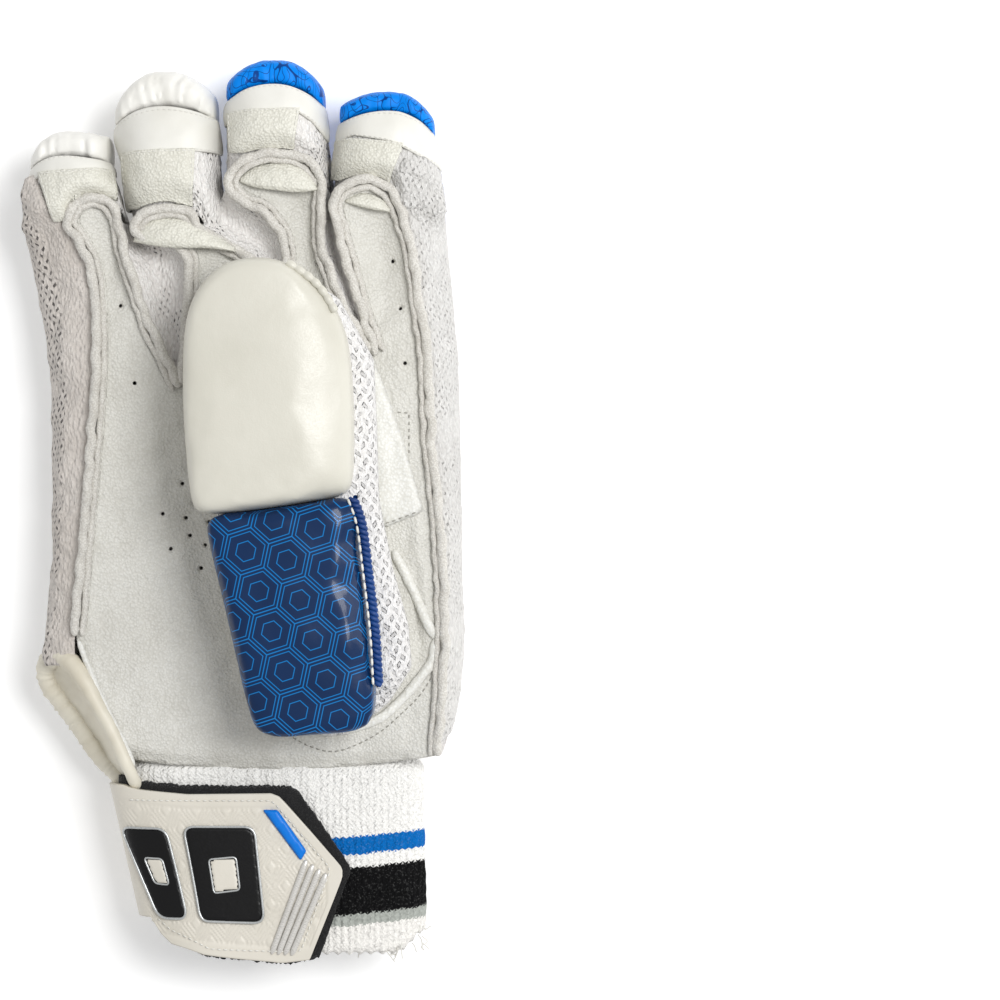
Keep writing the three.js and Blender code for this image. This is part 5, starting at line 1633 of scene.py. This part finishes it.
def strap_grid(columns, rows, out, table):
    """A grid on the sleeve at that height over it, between the table's top and bottom lines."""
    reach = (table[-1, 0] * STEP_X + SHIFT[0] - SLEEVE_X) / (SLEEVE_HALF_X + out)
    turned = 3 * columns // 4
    first, _ = even_angles(turned, math.acos(reach ** (1 / SLEEVE_POWER)), TOP_SIDE_END)
    rest, _ = even_angles(columns - turned + 1, TOP_SIDE_END, STRAP_LAST)
    angle = np.concatenate([first, rest[1:]])
    x, z = sleeve_point(angle, out)
    row = np.where(angle > math.pi, table[0, 0], (x - SHIFT[0]) / STEP_X)
    top = np.interp(row, table[:, 0], table[:, 1])
    bottom = np.interp(row, table[:, 0], table[:, 2])
    v = np.linspace(0, 1, rows)[:, None]
    y = mix(top, bottom, v) * STEP_Y + SHIFT[1]
    grid = np.stack([pull_in(x[None] + 0 * y, y), y, z[None] + 0 * y], -1)
    return grid, angle


def on_strap(points, out):
    """Points of the strap's top side over pattern steps, at a height over its face."""
    flat = plan(points)
    reach = SLEEVE_HALF_X + FACE_OUT + STRAP_WALL
    cosine = np.abs((flat[..., 0] - SLEEVE_X) / reach) ** (1 / SLEEVE_POWER)
    sine = np.sqrt(np.clip(1 - cosine ** 2, 0, 1))
    z = SLEEVE_Z + (SLEEVE_HALF_Z + FACE_OUT + STRAP_WALL) * sine ** SLEEVE_POWER
    return np.stack([pull_in(flat[..., 0], flat[..., 1]), flat[..., 1], z + out], -1)


def rounded(corners, radius, spacing):
    """A closed outline in steps with rounded corners."""
    points = []
    corners = np.asarray(corners, float)
    for before, corner, after in zip(np.roll(corners, 1, 0), corners, np.roll(corners, -1, 0)):
        a = corner + (before - corner) / np.linalg.norm(before - corner) * radius
        b = corner + (after - corner) / np.linalg.norm(after - corner) * radius
        for t in np.linspace(0, 1, 7):
            points.append((1 - t) ** 2 * a + 2 * t * (1 - t) * corner + t ** 2 * b)
    return evenly(np.array(points), spacing, closed=True)


def raised_plate(name, outline, height, rounding, material):
    """A thin plate with softened edges on the strap, over an outline in steps."""
    flat, faces = field_mesh(outline * STEP, [], 0.8 * MM)
    steps = flat / STEP
    ring = np.vstack([outline, outline[0]]) * STEP
    away = np.clip(distance_to_line(flat, ring) / rounding, 0, 1)
    lift = height * mix(0.4, 1, np.sqrt(1 - (1 - away) ** 2))
    points = on_strap(steps, 0) + lift[:, None] * [0, 0, 1]
    plate = make_object(name, points, faces, material, flat)
    thicken(plate, height + 0.5 * MM)
    return plate


def closed_roll(name, loop, radius, material, sides=8):
    """A round bead along a closed loop of points."""
    ahead, behind = np.roll(loop, -1, 0), np.roll(loop, 1, 0)
    along = ahead - behind
    along /= np.linalg.norm(along, axis=1)[:, None]
    side = np.cross(along, [0, 0, 1])
    side /= np.linalg.norm(side, axis=1)[:, None]
    top = np.cross(side, along)
    section = circle(radius, sides)
    rings = loop[:, None] + side[:, None] * section[None, :, 0:1] + top[:, None] * section[None, :, 1:2]
    faces = []
    for row in range(len(loop)):
        for k in range(sides):
            after = (row + 1) % len(loop)
            faces.append((row * sides + k, row * sides + (k + 1) % sides,
                          after * sides + (k + 1) % sides, after * sides + k))
    return make_object(name, rings.reshape(-1, 3), faces, material)


PLAQUES = {
    "left": [(-124, -318), (-76, -318), (-68, -408), (-104, -408)],
    "right": [(-58, -316), (14, -316), (24, -412), (-50, -410)],
}
INSET_SHARE = 0.42
ACCENT = [(22, -299), (37, -299), (66, -340), (60, -350)]
RIBS = dict(count=4, high=(66, -349), low=(31, -443), pitch=(6.6, -4.4), wide=1.0 * MM)
LOZENGE_PERIOD = 30
STRAP_BORDER = [(-108, -290), (32, -290), (90, -358), (60, -441), (-40, -438), (-92, -420), (-106, -408)]


def strap_relief(grid):
    """Heights of the moulded pattern: a plain margin with a groove along it, and lozenges with double
    borders and raised middles.
    """
    x, y = to_steps(grid[..., 0], grid[..., 1])
    top = np.interp(x, STRAP_ROWS[:, 0], STRAP_ROWS[:, 1])
    bottom = np.interp(x, STRAP_ROWS[:, 0], STRAP_ROWS[:, 2])
    margin = np.minimum(top - y, y - bottom)
    margin = np.minimum(margin, (101 - x) * 0.9)
    field = smooth_step(14, 17, margin)

    def cell(value, period):
        return np.abs((value / period) % 1 - 0.5) * period
    u, v = x + 0.8 * y, x - 0.8 * y
    period = LOZENGE_PERIOD
    from_edge = np.minimum(period - 2 * cell(u, period), period - 2 * cell(v, period)) / 2
    border = np.exp(-((from_edge - 2.2) / 1.2) ** 2) + np.exp(-((from_edge - 6.4) / 1.2) ** 2)
    inner = smooth_step(9, 10.5, from_edge)
    groove = np.exp(-((margin - 14.5) / 1.3) ** 2)
    return MM * (field * (0.5 * np.clip(border, 0, 1) + 0.4 * inner - 0.4) - 0.3 * groove)


def build_strap():
    rng = np.random.default_rng(200)
    grid, _ = strap_grid(*GRIDS["pile"], BACKING_OUT + 1.6 * MM, BACKING_ROWS)
    fuzz = rng.uniform(-0.35, 0.45, (2, grid.shape[1])) * MM
    grid[0, :, 1] += fuzz[0]
    grid[-1, :, 1] -= fuzz[1]
    backing = sheet_object("strap_pile", grid, black_pile, 1.5 * MM)
    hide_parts("strap_backing")

    grid, angle = strap_grid(*GRIDS["strap"], FACE_OUT + STRAP_WALL, STRAP_ROWS)
    relief = strap_relief(grid) * (angle < math.pi)[None]
    grid[..., 2] += relief * np.clip(np.sin(angle), 0, 1)[None]
    face = sheet_object("strap_plate", grid, strap_rubber, 2.2 * MM)
    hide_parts("strap_face")

    corners = np.array(STRAP_BORDER, float)
    border = on_strap(evenly(corners, 1.5), 0.25 * MM)
    seam = stitches("strap_border_stitches", border, thread, "strap")

    for side, corners in PLAQUES.items():
        outline = rounded(corners, 11, 2.4)
        plaque = raised_plate(f"plaque_{side}", outline, 1.1 * MM, 0.5 * MM, plaque_black)
        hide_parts(f"strap_badge_{side}")
        rim = closed_roll(f"plaque_rim_{side}", on_strap(outline, 0.75 * MM), 0.42 * MM, silver)
        middle = outline.mean(0)
        quarters = outline[[0, len(outline) // 4, len(outline) // 2, 3 * len(outline) // 4]]
        diamond = rounded((quarters - middle) * INSET_SHARE + middle, 4, 1.8)
        inset = raised_plate(f"plaque_inset_{side}", diamond, 1.35 * MM, 0.4 * MM, strap_rubber)
        rim = closed_roll(f"plaque_inset_rim_{side}", on_strap(diamond, 1.2 * MM), 0.3 * MM, silver)

    accent = raised_plate("accent_bar", rounded(ACCENT, 2, 2), 0.9 * MM, 0.3 * MM, accent_blue)
    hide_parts("strap_accent")
    for rib in range(RIBS["count"]):
        shift = np.array(RIBS["pitch"]) * rib
        ends = np.array([RIBS["high"], RIBS["low"]], float) + shift * [[1, 1], [1, 0.1]]
        route = on_strap(mix(ends[0], ends[1], np.linspace(0, 1, 60)[:, None]), 0.3 * MM)
        ridge = soft_roll(f"strap_ridge_{rib + 1}", route, RIBS["wide"], rib_silver, 205 + rib, 12,
                          0.0, 0.7)
        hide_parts(f"strap_rib_{rib + 1}")


# Stage

# Area lights: place, width and length in metres, watts
LAMPS = {"key": ((0.55, 0.25, 1.2), 0.5, 0.5, 11), "strip": ((1.0, 0.1, 0.5), 0.2, 0.9, 1.5)}
SKY_STRENGTH = 0.56
FLOOR_GLOW = 0.2
FLOOR_HALF = 3.0


def build_stage():
    floor_paint = Paint("floor", (0.95, 0.95, 0.95), 0.9, Emission_Color=(1, 1, 1, 1),
                        Emission_Strength=FLOOR_GLOW)
    mesh = bpy.data.meshes.new("floor")
    half = FLOOR_HALF
    mesh.from_pydata([(-half, -half, 0), (half, -half, 0), (half, half, 0), (-half, half, 0)], [],
                     [(0, 1, 2, 3)])
    mesh.materials.append(floor_paint.material)
    floor = bpy.data.objects.new("floor", mesh)
    bpy.context.scene.collection.objects.link(floor)

    world = bpy.data.worlds.new("studio")
    bpy.context.scene.world = world
    world.use_nodes = True
    background = world.node_tree.nodes["Background"]
    background.inputs["Color"].default_value = (1, 1, 1, 1)
    background.inputs["Strength"].default_value = SKY_STRENGTH

    def lamp(name, place, size, long, watts):
        light = bpy.data.lights.new(name, "AREA")
        light.shape = "RECTANGLE"
        light.size = size
        light.size_y = long
        light.energy = watts
        obj = bpy.data.objects.new(name, light)
        obj.location = place
        obj.rotation_euler = (-Vector(place)).to_track_quat("-Z", "Y").to_euler()
        bpy.context.scene.collection.objects.link(obj)

    for name, (place, size, long, watts) in LAMPS.items():
        lamp(name, place, size, long, watts)


PHOTO_MIDDLE = (500, 500)
CAMERA_HEIGHT = 1.1
FOCUS_LEVEL = 36 * MM
PHOTO_WIDTH = 0.32
SENSOR_WIDTH = 36


def build_camera():
    data = bpy.data.cameras.new("camera")
    data.type = "PERSP"
    data.sensor_width = SENSOR_WIDTH
    data.lens = SENSOR_WIDTH * CAMERA_HEIGHT / PHOTO_WIDTH
    camera = bpy.data.objects.new("camera", data)
    x = (PHOTO_MIDDLE[0] - PHOTO_ORIGIN[0]) * STEP_X + SHIFT[0]
    y = stripe_y(PHOTO_MIDDLE[1])
    camera.location = (x, y, FOCUS_LEVEL + CAMERA_HEIGHT)
    bpy.context.scene.collection.objects.link(camera)
    bpy.context.scene.camera = camera


build_camera()
build_stage()
build_palm()
build_lips()
build_hoods()
build_tongues()
build_tips()
build_gussets()
build_back()
build_rolls()
build_stall()
build_guards()
build_thumb_trim()
build_flap()
build_slit()
build_cuff()
build_strap()
blow_up_pads()

bpy.context.scene.view_settings.view_transform = "Standard"
